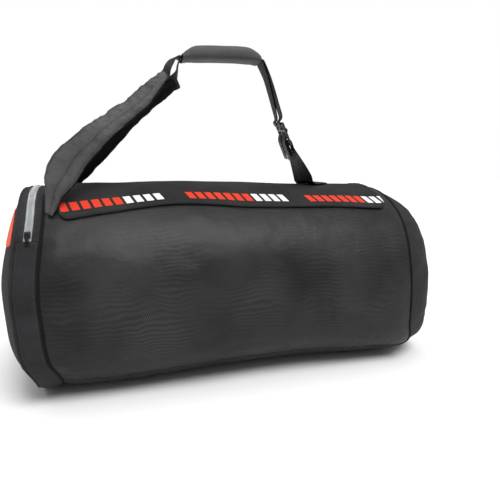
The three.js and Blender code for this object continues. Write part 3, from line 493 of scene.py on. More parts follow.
def printedOxford():
    material, tree, surface, axes, lit = wovenCloth("printedOxford", {
        "dark": "#161617", "light": "#262627", "spacing": (1.5, 1.5), "grain": 0.2, "bump": 0.5,
        "rough": 0.7, "gloss": 0.2, "sheen": 0.02, "crumple": 0.9,
    })

    def step(operation, *items):
        numbers = {k: item for k, item in enumerate(items) if isinstance(item, (int, float))}
        links = {k: item for k, item in enumerate(items) if k not in numbers}
        return addNode(tree, "Math", {"operation": operation, **numbers}, links).outputs[0]

    along, inward = axes.outputs[0], axes.outputs[1]
    slanted = step("ADD", along, step("MULTIPLY", inward, printRow["slant"]))
    fromFirst = step("ADD", slanted, (printRow["period"] - printRow["first"]) * mm)
    inGroup = step("MODULO", fromFirst, printRow["period"] * mm)
    inBar = step("MODULO", inGroup, printRow["pitch"] * mm)
    above = step("GREATER_THAN", inward, printRow["low"] * mm)
    band = step("MULTIPLY", above, step("LESS_THAN", inward, printRow["high"] * mm))
    bar = step("LESS_THAN", inBar, printRow["pitch"] * printRow["fill"] * mm)
    group = step("LESS_THAN", inGroup, printRow["end"] * mm)
    ink = step("MULTIPLY", band, step("MULTIPLY", bar, group))
    isWhite = step("GREATER_THAN", inGroup, printRow["red"] * mm)
    inks = {"data_type": "RGBA", 6: linear(printRow["redInk"]), 7: linear(printRow["whiteInk"])}
    colour = addNode(tree, "Mix", inks, {0: isWhite})
    printed = addNode(tree, "Mix", {"data_type": "RGBA"}, {0: ink, 6: lit, 7: colour.outputs[2]})
    tree.links.new(printed.outputs[2], surface.inputs["Base Color"])
    return material


flapCloth = printedOxford()
print("materials made")


# Mesh walls, one at the front and one at the back, meeting at the mouth
walls = {"thick": 1.6, "along": 170, "around": 72}
start, end = bag["piping"] - bag["tucked"], bag["length"] - bag["piping"] + bag["tucked"]
bagMiddle = (0, 0, bag["waist"])
gapAngle = math.degrees(bag["gap"] / half)


# Panels run along the bag, or across for the narrow cloth of the pocket
def panelPlace(first, last, angles, depth=0, across=False):
    def place(u, v):
        if across:
            u, v = v, u
        station = first + (last - first) * u
        angle = math.radians(angles[0] + (angles[1] - angles[0]) * v)
        cut = (angle * half, station) if across else (station, angle * half)
        return clothPoint(station, wrapped(angle), depth), cut
    return place


for side, sign in (("front", 1), ("back", -1)):
    angles = (sign * bag["mouthAngle"], sign * (bag["baseSeam"] - gapAngle))
    place = panelPlace(start, end, angles)
    steps = (walls["along"], walls["around"])
    piece = clothPanel(
        "mesh_" + side, steps, place, bagMiddle, meshKnit, "mesh_wall_" + side, walls["thick"],
    )
    declareSheet(place)
print("mesh walls made")

# Base panel of solid cloth, flat where the bag lies on it
base = {"thick": 2, "along": 150, "around": 60}
place = panelPlace(start, end, (bag["baseSeam"], 360 - bag["baseSeam"]))
steps = (base["along"], base["around"])
piece = clothPanel("base_cloth", steps, place, bagMiddle, oxford, "base_panel", base["thick"])
declareSheet(place)

# Flap over the mouth, with rounded ends, a turned hem and a slightly wavy edge
flap = {
    "thick": 2.2, "start": 23, "end": 617, "corner": 18, "hem": 9, "hemLift": 0.5, "curlReach": 26,
    "curl": 0.9, "wavy": 1.1, "dents": 0.5, "printStretch": 1.12, "along": 190, "across": 84,
    "rows": [
        (0.05, 0.69), (0.14, 0.645), (0.32, 0.585), (0.55, 0.612), (0.75, 0.605), (0.95, 0.63),
    ],
}


def flapPlace(u, v):
    low, spread, high = (0.5 - 0.5 * math.cos(math.pi * k) for k in (0.1, 0.1 + 0.8 * u, 0.9))
    station = flap["start"] + (flap["end"] - flap["start"]) * (spread - low) / (high - low)
    toEnd = min(station - flap["start"], flap["end"] - station)
    uncut = half * column(flap["rows"], 1, station / bag["length"])
    wide = uncut
    if toEnd < flap["corner"]:
        cut = flap["corner"] - max(toEnd, 0)
        wide -= flap["corner"] - math.sqrt(max(flap["corner"] ** 2 - cut ** 2, 0))
    y = wide * (2 * v - 1)
    angle = math.asin(-y / (half * column(bag["sections"], 2, station / bag["length"])))
    toEdge = min(wide - abs(y), toEnd)
    lift = flap["hemLift"] * ease(flap["hem"], flap["hem"] - 2, toEdge)
    curl = flap["curl"] + flap["wavy"] * ruffle(station / 38, y / 80, 2.2)
    lift += ease(flap["curlReach"], 0, toEdge) * curl
    lift += flap["dents"] * ruffle(station / 55, y / 42, 4.4)
    point = clothPoint(station, angle, -(bag["layer"] + flap["thick"]))
    point += skinOut(station, angle) * max(lift, 0)
    return point, (station, (uncut - abs(y)) * flap["printStretch"])


steps = (flap["along"], flap["across"])
piece = clothPanel("flap", steps, flapPlace, bagMiddle, flapCloth, "mouth_flap", flap["thick"])
declareSheet(flapPlace)
print("base and flap made")

# Piping rings at the seams: cord in a bias-cut cover, a little uneven along its length
pipingRings = {"around": 220, "sides": 10, "uneven": 0.8, "lumps": 160}


def ringPlace(station):
    def place(u, v):
        angle, turn = 2 * math.pi * u, 2 * math.pi * v
        centre = skinPoint(station, angle, bag["pipingSunk"])
        deeper = skinPoint(station, angle, bag["pipingSunk"] + bag["piping"])
        inward = (deeper - centre).normalized()
        centre.z = max(centre.z, bag["piping"])
        thinned = 0.5 + 0.5 * ruffle(u * pipingRings["lumps"], v, station)
        radius = bag["piping"] - pipingRings["uneven"] * thinned
        point = centre + inward * radius * math.cos(turn) + Vector((radius * math.sin(turn), 0, 0))
        return point, (angle * half, turn * bag["piping"])
    return place


# The two seam cords take the near-black binding, partly painted shade of the groove along the seam
for name, station, cover in (
    ("pocket_seam", 0, bindingPaintedShade),
    ("pocket_end", -bag["pocket"], oxford),
    ("far_seam", bag["length"], bindingPaintedShade),
):
    bm = clothGrid((pipingRings["around"], pipingRings["sides"]), ringPlace(station), closed=True)
    addObject(name + "_cord", bm, cover, [name + "_piping"])
print("piping made")

# Cloth of the end pocket: two strips beside the zip and the gusset below it
pocket = {"thick": 2, "around": 130, "across": 10}
zipLine = {
    "middle": -bag["pocket"] / 2, "tape": 12, "tapeThick": 1.2, "tapeSteps": 8, "sunk": 0.6, "teeth": 5,
}
inner = zipLine["middle"] + zipLine["tape"] / 2
outer = zipLine["middle"] - zipLine["tape"] / 2
pocketMiddle = (zipLine["middle"] - bag["length"] / 2, 0, bag["waist"])
besideZip = (-bag["zipEnd"], bag["zipEnd"])
belowZip = (bag["zipEnd"] + gapAngle, 360 - bag["zipEnd"] - gapAngle)
for name, first, last, angles, node in (
    ("pocket_strip_in", inner + bag["gap"], -start, besideZip, "pocket_strip_inner"),
    ("pocket_strip_out", start - bag["pocket"], outer - bag["gap"], besideZip, "pocket_strip_outer"),
    ("pocket_side", start - bag["pocket"], -start, belowZip, "pocket_gusset"),
):
    place = panelPlace(first, last, angles, across=True)
    steps = (pocket["around"] * (2 if angles is belowZip else 1), pocket["across"])
    clothPanel(name, steps, place, pocketMiddle, oxford, node, pocket["thick"])
place = panelPlace(outer, inner, besideZip, zipLine["sunk"], across=True)
steps = (pocket["around"], zipLine["tapeSteps"])
clothPanel("zip_ribbon", steps, place, pocketMiddle, tapeCloth, "zip_tape", zipLine["tapeThick"])

# Teeth of the zip: two rows of small bent coils that mesh in the middle
teeth = {"pitch": 2.6, "long": 3.1, "wide": 1.35, "tall": 1.5, "apart": 0.55, "reach": 0.985}
bm = bmesh.new()
shape = oneStitch()
arc = math.radians(bag["zipEnd"]) * teeth["reach"]
count = int(2 * arc * half / teeth["pitch"])
across = Vector((1, 0, 0))
for n in range(2 * count):
    side = 1 if n % 2 else -1
    angle = arc * ((n + 0.5) / count - 1)
    station = zipLine["middle"] + side * (teeth["long"] - zipLine["teeth"] / 2 + teeth["apart"])
    out = skinOut(station, angle)
    centre = clothPoint(station, angle, zipLine["sunk"] - teeth["tall"] / 2)
    arrows = (across, out.cross(across).normalized(), out)
    addCopy(bm, shape, centre, arrows, (teeth["long"], teeth["wide"], teeth["tall"]))
bpy.data.meshes.remove(shape)
addObject("zip_coil", bm, coil, ["zip_teeth"])
print("pocket and zip made")

# Domed end panels, puckered where they are sewn into the piping
domes = {
    "thick": 2, "rings": 44, "around": 170, "pocketFull": 4, "farFull": 9, "pucker": 1.6, "dent": 2.6,
    "slack": 5, "pocketTight": 1.6, "farTight": 3.2,
}
panelSeat = bag["pipingSunk"] + bag["piping"] - bag["tucked"]


def domePlace(station, bulge, lift, share, angle):
    full = domes["farFull"] if bulge > 0 else domes["pocketFull"]
    rim = skinPoint(station, angle, panelSeat)
    y = rim.y * share
    z = bag["waist"] + (rim.z - bag["waist"]) * share
    point = Vector((station - bag["length"] / 2 + leanAt(z), y, z))
    way = math.copysign(1, bulge)
    dent = domes["dent"] * ruffle(y / 110, z / 90, station) * (1 - share ** 3)
    crease = domes["pucker"] * ruffle(angle * 17, share * 3, station)
    crease *= share ** 8 * ease(1, 0.97, share)
    point.x += bulge * (1 - share ** full) + lift + way * (dent + crease)
    if bulge > 0:
        slack = math.sin(math.pi * min(share ** full, 1)) * ruffle(angle * 5, share * 6, 2.7)
        inward = Vector((0, y, z - bag["waist"])).normalized()
        point -= inward * abs(slack) * domes["slack"]
    return point


for name, station, bulge, node in (
    ("pocket_end_dome", -bag["pocket"], -bag["pocketBulge"], "pocket_end_panel"),
    ("far_end_dome", bag["length"], bag["farBulge"], "far_end_panel"),
):
    lift = 0 if bulge > 0 else -domes["thick"] / 2
    tight = domes["farTight"] if bulge > 0 else domes["pocketTight"]

    def place(u, v, station=station, bulge=bulge, lift=lift, tight=tight):
        share = 1 - (1 - u) ** tight
        angle = 2 * math.pi * v
        point = domePlace(station, bulge, lift, share, angle)
        return point, (point.y, point.z)

    bm = clothGrid((domes["rings"], domes["around"]), place)
    bmesh.ops.remove_doubles(bm, verts=bm.verts, dist=1e-6)
    bm.normal_update()
    bm.faces.ensure_lookup_table()
    if bm.faces[len(bm.faces) // 3].normal.x * bulge < 0:
        bmesh.ops.reverse_faces(bm, faces=bm.faces)
    thicken(addObject(name, bm, oxford, [node]), domes["thick"])
print("ends made")

# Orange stripe across the pocket's end, a thin film laid on the dome
stripe = {"thick": 0.9, "middle": 282, "tall": 52, "round": 13, "reach": 0.94, "across": 90, "up": 28}


def stripePlace(u, v):
    z = stripe["middle"] + stripe["tall"] * (v - 0.5)
    up = z - bag["waist"]
    low, high = 0, half
    for _ in range(24):
        y = (low + high) / 2
        angle = math.atan2(y / half, up / (bag["height"] - bag["waist"]))
        rim = skinPoint(-bag["pocket"], angle, panelSeat)
        share = up / (rim.z - bag["waist"])
        if share < stripe["reach"] and abs(rim.y) * share < half:
            low = y
        else:
            high = y
    cut = max(abs(2 * v - 1) - 1 + stripe["round"] / stripe["tall"], 0) * stripe["tall"]
    low -= stripe["round"] - math.sqrt(max(stripe["round"] ** 2 - cut ** 2, 0))
    y = low * (2 * u - 1)
    angle = math.atan2(-y / half, up / (bag["height"] - bag["waist"]))
    rim = skinPoint(-bag["pocket"], angle, panelSeat)
    share = up / (rim.z - bag["waist"])
    lift = -domes["thick"] / 2 - bag["layer"] - stripe["thick"]
    point = domePlace(-bag["pocket"], -bag["pocketBulge"], lift, share, angle)
    return point, (y, z)


steps = (stripe["across"], stripe["up"])
inside = (0, 0, stripe["middle"])
clothPanel(
    "end_stripe", steps, stripePlace, inside, stripeFilm, "pocket_end_stripe", stripe["thick"],
)
print("stripe made")


# Points above the skin, from shares as in the solids; side is -1 at the front
def skinHeight(station, y):
    share = station / bag["length"]
    top = bag["height"] * column(bag["sections"], 1, share)
    wide = half * column(bag["sections"], 2, share)
    across = min(max(y / wide, -1), 1)
    return bag["waist"] + (top - bag["waist"]) * math.sqrt(1 - across * across)


def abovePoint(along, across, rise, side):
    station = along * bag["length"]
    y = side * across * half
    return Vector((station - bag["length"] / 2, y, skinHeight(station, y) + rise * bag["handleRise"]))


def curveThrough(points, share):
    at = share * (len(points) - 1)
    i = min(int(at), len(points) - 2)
    t = at - i
    a, b = points[i], points[i + 1]
    before = points[i - 1] if i else a * 2 - b
    after = points[i + 2] if i + 2 < len(points) else b * 2 - a
    return 0.5 * (
        2 * a + (b - before) * t + (2 * before - 5 * a + 4 * b - after) * t * t
        + (3 * a - before - 3 * b + after) * t * t * t
    )


# Start, width and facing of a band at a share of its length, between its two edges
def bandFrame(left, right, u, step):
    a, b = curveThrough(left, u), curveThrough(right, u)
    ahead, behind = (
        (curveThrough(left, at) + curveThrough(right, at)) / 2 for at in (min(u + step, 1), max(u - step, 0))
    )
    return a, b - a, (b - a).cross((ahead - behind).normalized()).normalized()


# Padded shoulder straps: each row gives the upper edge, the lower edge and the thickness
straps = {
    "thick": 12, "along": 150, "slack": 0.2, "reach": 4, "seam": 0.6, "bound": 0.066, "crease": 2.5,
    "long": 360, "bend": 2.4, "edgeWave": 1.3, "sway": 1.5, "tip": 0.94, "narrow": 0.26,
    "front": [
        (0.016, 0.63, 0.014, 0.034, 0.668, 0.014, 0.42), (0.016, 0.547, 0.068, 0.049, 0.637, 0.065, 0.67),
        (0.016, 0.5, 0.116, 0.057, 0.62, 0.092, 0.83), (0.016, 0.458, 0.168, 0.075, 0.589, 0.133, 0.92),
        (0.027, 0.416, 0.24, 0.097, 0.547, 0.18, 1), (0.052, 0.374, 0.314, 0.117, 0.511, 0.244, 1),
        (0.086, 0.326, 0.377, 0.147, 0.468, 0.314, 1), (0.136, 0.27, 0.468, 0.184, 0.42, 0.4, 1),
        (0.184, 0.215, 0.547, 0.228, 0.37, 0.48, 1), (0.237, 0.155, 0.628, 0.272, 0.32, 0.564, 0.92),
        (0.291, 0.095, 0.748, 0.31, 0.275, 0.67, 0.83), (0.332, 0.045, 0.832, 0.342, 0.205, 0.775, 0.5),
    ],
    "back": [
        (0.016, 0.63, 0.014, 0.034, 0.668, 0.014, 0.42), (0.016, 0.52, 0.07, 0.05, 0.62, 0.065, 0.67),
        (0.016, 0.484, 0.116, 0.06, 0.592, 0.088, 0.83), (0.016, 0.453, 0.176, 0.076, 0.563, 0.121, 0.92),
        (0.026, 0.421, 0.24, 0.103, 0.532, 0.175, 1), (0.052, 0.389, 0.306, 0.132, 0.5, 0.232, 1),
        (0.09, 0.347, 0.38, 0.168, 0.453, 0.305, 1), (0.139, 0.29, 0.466, 0.206, 0.4, 0.392, 1),
        (0.19, 0.235, 0.56, 0.252, 0.352, 0.508, 1), (0.247, 0.18, 0.655, 0.295, 0.308, 0.594, 0.92),
        (0.303, 0.13, 0.748, 0.34, 0.26, 0.68, 0.83), (0.36, 0.07, 0.812, 0.388, 0.205, 0.765, 0.5),
    ],
}


sides = ((-1, "front"), (1, "back"))
strapEdges = {}
for side, word in sides:
    strapEdges[side] = (
        [abovePoint(r[0], r[1], r[2], side) for r in straps[word]],
        [abovePoint(r[3], r[4], r[5], side) for r in straps[word]],
        [Vector((r[6], 0, 0)) for r in straps[word]],
    )


def strapFrame(side, u):
    upper, lower, thicks = strapEdges[side]
    a, wide, normal = bandFrame(upper, lower, u, 0.004)
    return a, wide, normal, curveThrough(thicks, u).x * straps["thick"]


# Places across a strap's face where its mesh has a line, closer together at the seams
strapLines = [
    0, 0.008, 0.025, 0.045, 0.058, 0.066, 0.074, 0.087, 0.11, 0.15, 0.2, 0.26, 0.32, 0.38, 0.44, 0.5, 0.545,
    0.572, 0.586, 0.594, 0.6, 0.606, 0.614, 0.628, 0.655, 0.7, 0.75, 0.8, 0.85, 0.89, 0.913, 0.926, 0.934,
    0.942, 0.955, 0.975, 0.992, 1,
]
strapSeams = [0, straps["bound"], straps["seam"], 1 - straps["bound"], 1]


# Height of a pad's face: the filling pillows up between the sewn lines
def padHeight(share, thick):
    crown = max(1 - abs(2 * share - 1) ** 6, 0) ** 0.5
    k = sum(1 for seam in strapSeams[1:-1] if share > seam)
    low, high = strapSeams[k], strapSeams[k + 1]
    pillow = math.sin(math.pi * min(max((share - low) / (high - low), 0), 1)) ** 0.45
    return thick / 2 * crown * (0.62 + 0.38 * pillow)


def strapCrease(run, across, side):
    crumple = ruffle(run / 15, across / 26 + run / 60, side * 3.3)
    crumple += 0.7 * ruffle(run / 7, across / 14 - run / 30, side * 8.1)
    crumple += 0.35 * ruffle(run / 3.6, across / 8, side * 1.7)
    return crumple


def strapPlace(side):
    def place(u, v):
        face = 1 if v < 0.5 else -1
        turn = (v * 2 if v < 0.5 else 2 - v * 2) * (len(strapLines) - 1)
        k = min(int(turn + 1e-6), len(strapLines) - 2)
        share = strapLines[k] + (strapLines[k + 1] - strapLines[k]) * min(max(turn - k, 0), 1)
        a, wide, normal, thick = strapFrame(side, u)
        width = wide.length
        run = u * straps["long"]
        crumpled = ease(0.4, 0.75, u) * 0.75 + 0.25
        atEdge = ease(0.16, 0.03, share) + 0.6 * ease(0.86, 0.97, share)
        free = ease(0, 0.08, u) * ease(1, 0.95, u)
        crease = strapCrease(run, share * width, side) * (crumpled + 0.6 * atEdge) * straps["crease"] * free
        height = padHeight(share, thick) + 0.8 * crease * ease(0, 0.02, min(share, 1 - share))
        bend = straps["bend"] * ruffle(run / 55, share * 1.4, side * 5.5)
        bend += straps["edgeWave"] * atEdge * ruffle(run / 13, share, side * 2.2)
        shift = straps["sway"] * ruffle(run / 19, side * 7.1, 0.4) * free * (1 - 2 * share)
        tip = max(u - straps["tip"], 0) / (1 - straps["tip"])
        rounded = math.sqrt(max(1 - tip * tip, 0))
        height *= rounded * 0.85 + 0.15
        share += (1 - 2 * share) * straps["narrow"] * (1 - rounded)
        point = a + wide * share + wide.normalized() * shift
        height = max(height, 0.2) if 0.001 < turn < len(strapLines) - 1.001 else 0
        point += normal * (face * height + bend * free)
        return point, (run, face * share * width)
    return place


# Pads are stuffed by a short cloth simulation: pressure from inside, held at the sewn
# lines, with slack cloth where the real one is crumpled
stuffing = {
    "quality": 6, "mass": 0.08, "tension_stiffness": 6, "compression_stiffness": 6, "shear_stiffness": 3,
    "bending_stiffness": 0.005, "use_pressure": True, "uniform_pressure_force": 12,
    "vertex_group_mass": "sewn", "vertex_group_shrink": "slack", "shrink_min": 0,
}
stuffingFrames = 18


def stuffPad(piece, slack, reach):
    piece.vertex_groups.new(name="sewn")
    piece.vertex_groups.new(name="slack")
    before = [vert.co.copy() for vert in piece.data.vertices]
    cloth = piece.modifiers.new("stuffing", "CLOTH")
    for key, value in stuffing.items():
        setattr(cloth.settings, key, value)
    cloth.settings.effector_weights.gravity = 0
    cloth.settings.shrink_max = -slack
    cloth.collision_settings.use_collision = False
    scene = bpy.context.scene
    for frameNumber in range(1, stuffingFrames + 1):
        scene.frame_set(frameNumber)
    shaped = piece.evaluated_get(bpy.context.evaluated_depsgraph_get()).to_mesh()
    moved = [vert.co.copy() for vert in shaped.vertices]
    scene.frame_set(1)
    piece.modifiers.remove(cloth)
    for vert, old, new in zip(piece.data.vertices, before, moved):
        move = new - old
        if move.length > reach * mm:
            move = move * (reach * mm / move.length)
        vert.co = old + move
    piece.vertex_groups.clear()
    print("stuffed", piece.name, "by", round(max((n - o).length for n, o in zip(moved, before)) / mm, 1))


def padPiece(name, steps, place, held, material, nodes, lined):
    bm = clothGrid(steps, place, closed=True, held=held)
    closeEnds(bm)
    threads = bm.loops.layers.uv["threads"]
    # Faces on the inner side take the lining, whose black is partly painted shade
    for face in bm.faces:
        across = sum(loop[threads].uv.y for loop in face.loops)
        face.material_index = 1 if across * lined > 0 else 0
    piece = addObject(name, bm, material, nodes)
    piece.data.materials.append(liningPaintedShade)
    return piece


def finePad(piece):
    fine = piece.modifiers.new("fine", "SUBSURF")
    fine.levels = 1
    fine.render_levels = 1


def strapHeld(u, v):
    turn = (v * 2 if v < 0.5 else 2 - v * 2) * (len(strapLines) - 1)
    share = strapLines[min(int(turn + 0.5), len(strapLines) - 1)]
    sewn = max(ease(0.012, 0.004, abs(share - line)) for line in strapSeams)
    sewn = max(sewn, ease(0.03, 0.005, min(u, 1 - u)))
    slack = 0.25 + 0.75 * ease(0.45, 0.85, u)
    return sewn, slack


for side, word in sides:
    steps = (straps["along"], 2 * len(strapLines) - 2)
    piece = padPiece(
        word + "_strap_pad", steps, strapPlace(side), strapHeld, strapCloth,
        [word + "_shoulder_strap"], side,
    )
    stuffPad(piece, straps["slack"], straps["reach"])
    finePad(piece)
print("straps made")

# Handle wrap: a padded sleeve round both webbings, closed along its top
wrap = {
    "tall": 27, "wide": 50, "wall": 3.5, "channel": 2.81, "along": 90, "around": 48, "power": 2.6,
    "slack": 0.04, "reach": 1, "long": 151, "outer": 0.62, "hems": (0.07, 0.93), "hemDepth": 0.9,
    "seam": 62, "seamDepth": 1.1, "soft": 0.7, "body": 24,
    "hemWide": 1.4, "seamWide": 0.05, "channelPower": 14, "thread": 20,
    "rows": [
        (0.386, 0.923, 0.26, 0.207, 0.472), (0.402, 0.933, 0.5, 0.222, 0.488),
        (0.422, 0.941, 0.69, 0.23, 0.5), (0.46, 0.951, 0.726, 0.237, 0.5),
        (0.51, 0.961, 0.722, 0.237, 0.5), (0.56, 0.968, 0.748, 0.23, 0.5),
        (0.586, 0.968, 0.722, 0.23, 0.5), (0.606, 0.965, 0.556, 0.222, 0.488),
        (0.622, 0.957, 0.296, 0.207, 0.472),
    ],
}


def wrapPlace(u, v):
    outside = u < wrap["outer"]
    share = u / wrap["outer"] if outside else 1 - (u - wrap["outer"]) / (1 - wrap["outer"])
    first, last = wrap["rows"][0][0], wrap["rows"][-1][0]
    along = first + (last - first) * share
    centre = abovePoint(along, 0, column(wrap["rows"], 1, along), 1)
    turn = 2 * math.pi * v
    across, up = math.cos(turn), math.sin(turn)
    wide = column(wrap["rows"], 4, along) * wrap["wide"]
    run = share * wrap["long"]
    if outside:
        tall = column(wrap["rows"], 2 if up > 0 else 3, along) * wrap["tall"]
        power = 2 / wrap["power"]
        soft = wrap["soft"] * ruffle(run / 24, turn * 2, 6.1) * ease(0, 0.08, share) * ease(1, 0.92, share)
        fromSeam = turn - math.radians(wrap["seam"])
        groove = wrap["seamDepth"] * math.exp(-((fromSeam / wrap["seamWide"]) ** 2))
        hems = sum(math.exp(-(((run - hem * wrap["long"]) / wrap["hemWide"]) ** 2)) for hem in wrap["hems"])
        grow = 1 + (soft - groove - hems * wrap["hemDepth"]) / wrap["body"]
        wide, tall = wide * grow, tall * grow
    else:
        power = 2 / wrap["channelPower"]
        wide, tall = wide - wrap["wall"], wrap["channel"]
    y = wide * powered(across, power)
    z = tall * powered(up, power)
    return centre + Vector((0, y, z)), (run, turn * wrap["thread"])


def wrapHeld(u, v):
    inside = 0 if u < wrap["outer"] else 1
    edges = max(ease(0.02, 0.006, abs(u - wrap["outer"] * edge)) for edge in (0, *wrap["hems"], 1))
    seam = ease(0.02, 0.006, abs(v - wrap["seam"] / 360)) if u < wrap["outer"] else 1
    return max(inside, edges, seam), 0.5


bm = clothGrid((wrap["along"], wrap["around"]), wrapPlace, closed=True, held=wrapHeld)
piece = addObject("wrap_sleeve", bm, wrapCloth, ["handle_wrap"])
stuffPad(piece, wrap["slack"], wrap["reach"])
finePad(piece)
print("wrap made")

# Webbing from each strap through the wrap and its adjuster, with a loose end
webbing = {
    "wide": 38, "thick": 2, "spacing": 0.5, "sewnIn": (12, 0), "tail": 52, "fold": 46, "steps": 5,
    "around": 12, "edgePower": 0.12, "facePower": 0.4,
}
adjusters = {
    "along": 0.702, "rise": 0.415, "swing": 14, "lean": 24, "bar": 5, "slot": 9, "thick": 4, "rail": 5,
    "clear": 1, "apart": 4, "pass": 0.8, "inset": 0.5, "leave": 2.2, "bend": 1.2, "flatter": 0.9,
}
leads = {
    -1: [
        (0.342, 0.125, 0.844, -10, 0.4), (0.353, 0.095, 0.888, -8, 0.28), (0.363, 0.06, 0.917, -5, 0.15),
        (0.374, 0.025, 0.929, -2, 0.05),
    ],
    1: [
        (0.3755, 0.12, 0.824, -10, 0.33), (0.377, 0.09, 0.858, -8, 0.24), (0.3785, 0.06, 0.889, -5, 0.15),
        (0.3805, 0.025, 0.911, -2, 0.05),
    ],
}
drops = [
    (0.627, 0.95, 0.02, 1), (0.636, 0.907, 0.085, 3), (0.648, 0.842, 0.175, 6), (0.661, 0.748, 0.35, 8),
    (0.676, 0.627, 0.56, 10), (0.686, 0.54, 0.83, 12),
]
tail = [(0.23, 2), (0.4, 2.3), (1, 2.4)]
foot = {
    "along": 0.772, "swing": -24, "long": 46, "lift": 14,
    "rows": [(0, 1), (0.09, 0.36), (0.24, 0.07), (0.39, 0), (0.7, 0), (1, 0)],
}
buckleSpread = webbing["wide"] / 2 + adjusters["clear"] + adjusters["rail"] + adjusters["apart"] / 2
barPitch = adjusters["bar"] + adjusters["slot"]
bars = [k * barPitch for k in (-1.5, -0.5, 0.5, 1.5)]
passHeight = adjusters["thick"] / 2 + webbing["thick"] / 2 + adjusters["pass"]


def widthAt(swing, slope=0):
    sideways = math.cos(math.radians(swing))
    return Vector((math.sin(math.radians(swing)), sideways, sideways * slope)).normalized()


def squareTo(across, way):
    return (across - way * across.dot(way)).normalized()


def wayAt(points, i):
    return (points[min(i + 1, len(points) - 1)] - points[max(i - 1, 0)]).normalized()


def buckleFrame(side):
    tilt, swing = math.radians(adjusters["lean"]), math.radians(adjusters["swing"])
    down = Vector((math.sin(tilt), 0, -math.cos(tilt)))
    across = squareTo(Vector((math.sin(swing), math.cos(swing), 0)), down)
    out = down.cross(across).normalized()
    centre = abovePoint(adjusters["along"], 0, adjusters["rise"], 1) + across * side * buckleSpread
    return down, across, out, centre


def webbingRows(side):
    layer = -side * (webbing["thick"] + webbing["spacing"]) / 2
    a, wide, _, _ = strapFrame(side, 1)
    before = strapFrame(side, 1 - 1 / (len(straps["back"]) - 1))
    outOfStrap = (a + wide / 2 - before[0] - before[1] / 2).normalized()
    rows = [
        (a + wide / 2 - outOfStrap * back, (wide * side).normalized(), outOfStrap)
        for back in webbing["sewnIn"]
    ]
    for along, across, rise, swing, tilt in leads[side]:
        rows.append((abovePoint(along, across, rise, side), widthAt(-side * swing, -side * tilt), None))
    inWrap = [abovePoint(r[0], 0, r[1], 1) for r in wrap["rows"]]
    shared = inWrap + [abovePoint(r[0], 0, r[1], 1) for r in drops]
    spreads = [0] * len(inWrap) + [r[2] for r in drops]
    swings = [0] * len(inWrap) + [r[3] for r in drops]
    for i, centre in enumerate(shared):
        way = wayAt(inWrap if i < len(inWrap) else shared, i)
        across = squareTo(widthAt(swings[i]), way)
        out = way.cross(across)
        rows.append((centre + out * layer + across * side * spreads[i] * buckleSpread, across, way))
    down, across, out, centre = buckleFrame(side)
    inset = adjusters["inset"]
    threads = [
        (bars[0] - adjusters["bar"], -passHeight), (bars[0] + adjusters["bar"] / 2, -passHeight),
        (bars[0] + barPitch / 2, 0), (bars[1] - adjusters["bar"] / 2 + inset, passHeight),
        (bars[1] + adjusters["bar"] / 2 - inset, passHeight), (0, 0), (adjusters["slot"] / 2, -passHeight),
    ] + [(share * webbing["tail"], -lift * passHeight) for share, lift in tail]
    rows += [(centre + down * along + out * height, across, None) for along, height in threads]
    return rows


def anchorRows(side):
    down, across, out, centre = buckleFrame(side)

    def place(along, height):
        return centre + down * along + out * height

    bar, bend, nearBar = adjusters["bar"], adjusters["bend"], adjusters["flatter"] * passHeight
    sag = webbing["wide"] ** 2 / (8 * (bag["height"] - bag["waist"]))
    height = bag["layer"] + flap["thick"] + bag["gap"] + webbing["thick"] / 2 + sag
    swing = math.radians(foot["swing"])
    way = Vector((math.cos(swing), -math.sin(swing), 0))
    first = Vector((foot["along"] * bag["length"] - bag["length"] / 2, 0, 0)) + across * side * buckleSpread

    def onFlap(distance, lift):
        point = first + way * distance
        point.z = skinHeight(point.x + bag["length"] / 2, point.y) + height + lift
        return point

    top = place(bars[3] + adjusters["leave"] * bar, passHeight)
    low = onFlap(0, foot["lift"])
    rows = [
        (place(webbing["fold"], -passHeight), across, None),
        (place(bars[3] + bar / 2, -passHeight), across, None),
        (place(barPitch + bend, -nearBar), across, None),
        (place(barPitch, 0), across, None),
        (place(barPitch + bend, nearBar), across, None),
        (place(bars[3] + bar / 2, passHeight), across, None),
        (top, across, None),
    ]
    for share in (1 / 3, 2 / 3):
        turned = adjusters["swing"] + (foot["swing"] - adjusters["swing"]) * share
        rows.append((top.lerp(low, share), ("square", turned, 0), None))
    for share, lift in foot["rows"]:
        point = onFlap(share * foot["long"], lift * foot["lift"])
        station = point.x + bag["length"] / 2
        slope = (skinHeight(station, point.y + 1) - skinHeight(station, point.y - 1)) / 2
        rows.append((point, ("square", foot["swing"], slope), None))
    centres = [row[0] for row in rows]
    for i, (point, across, way) in enumerate(rows):
        if isinstance(across, tuple):
            rows[i] = (point, squareTo(widthAt(*across[1:]), wayAt(centres, i)), way)
    return rows


def ribbonEdges(rows):
    return [[row[0] + row[1] * side * webbing["wide"] / 2 for row in rows] for side in (-1, 1)]


# A webbing is a ribbon with a rounded selvedge, laid through its rows of centre and width
def ribbon(rows):
    left, right = ribbonEdges(rows)
    runs = runsAlong([row[0] for row in rows])

    def place(u, v):
        a, wide, normal = bandFrame(left, right, u, 0.1 / len(rows))
        turn = 2 * math.pi * (v + 0.5 / webbing["around"])
        share = 0.5 - 0.5 * powered(math.cos(turn), webbing["edgePower"])
        height = webbing["thick"] / 2 * powered(math.sin(turn), webbing["facePower"])
        at = u * (len(rows) - 1)
        i = min(int(at), len(rows) - 2)
        run = runs[i] + (runs[i + 1] - runs[i]) * (at - i)
        return a + wide * share + normal * height, (run, share * webbing["wide"])

    return place


def webbingPiece(name, rows, node):
    steps = ((len(rows) - 1) * webbing["steps"], webbing["around"])
    bm = clothGrid(steps, ribbon(rows), closed=True)
    closeEnds(bm)
    return addObject(name, bm, webbingWeave, [node])


for side, word in sides:
    webbingPiece(word + "_ribbon", webbingRows(side), word + "_webbing")
    webbingPiece(word + "_anchor", anchorRows(side), word + "_anchor_strap")
print("webbing made")


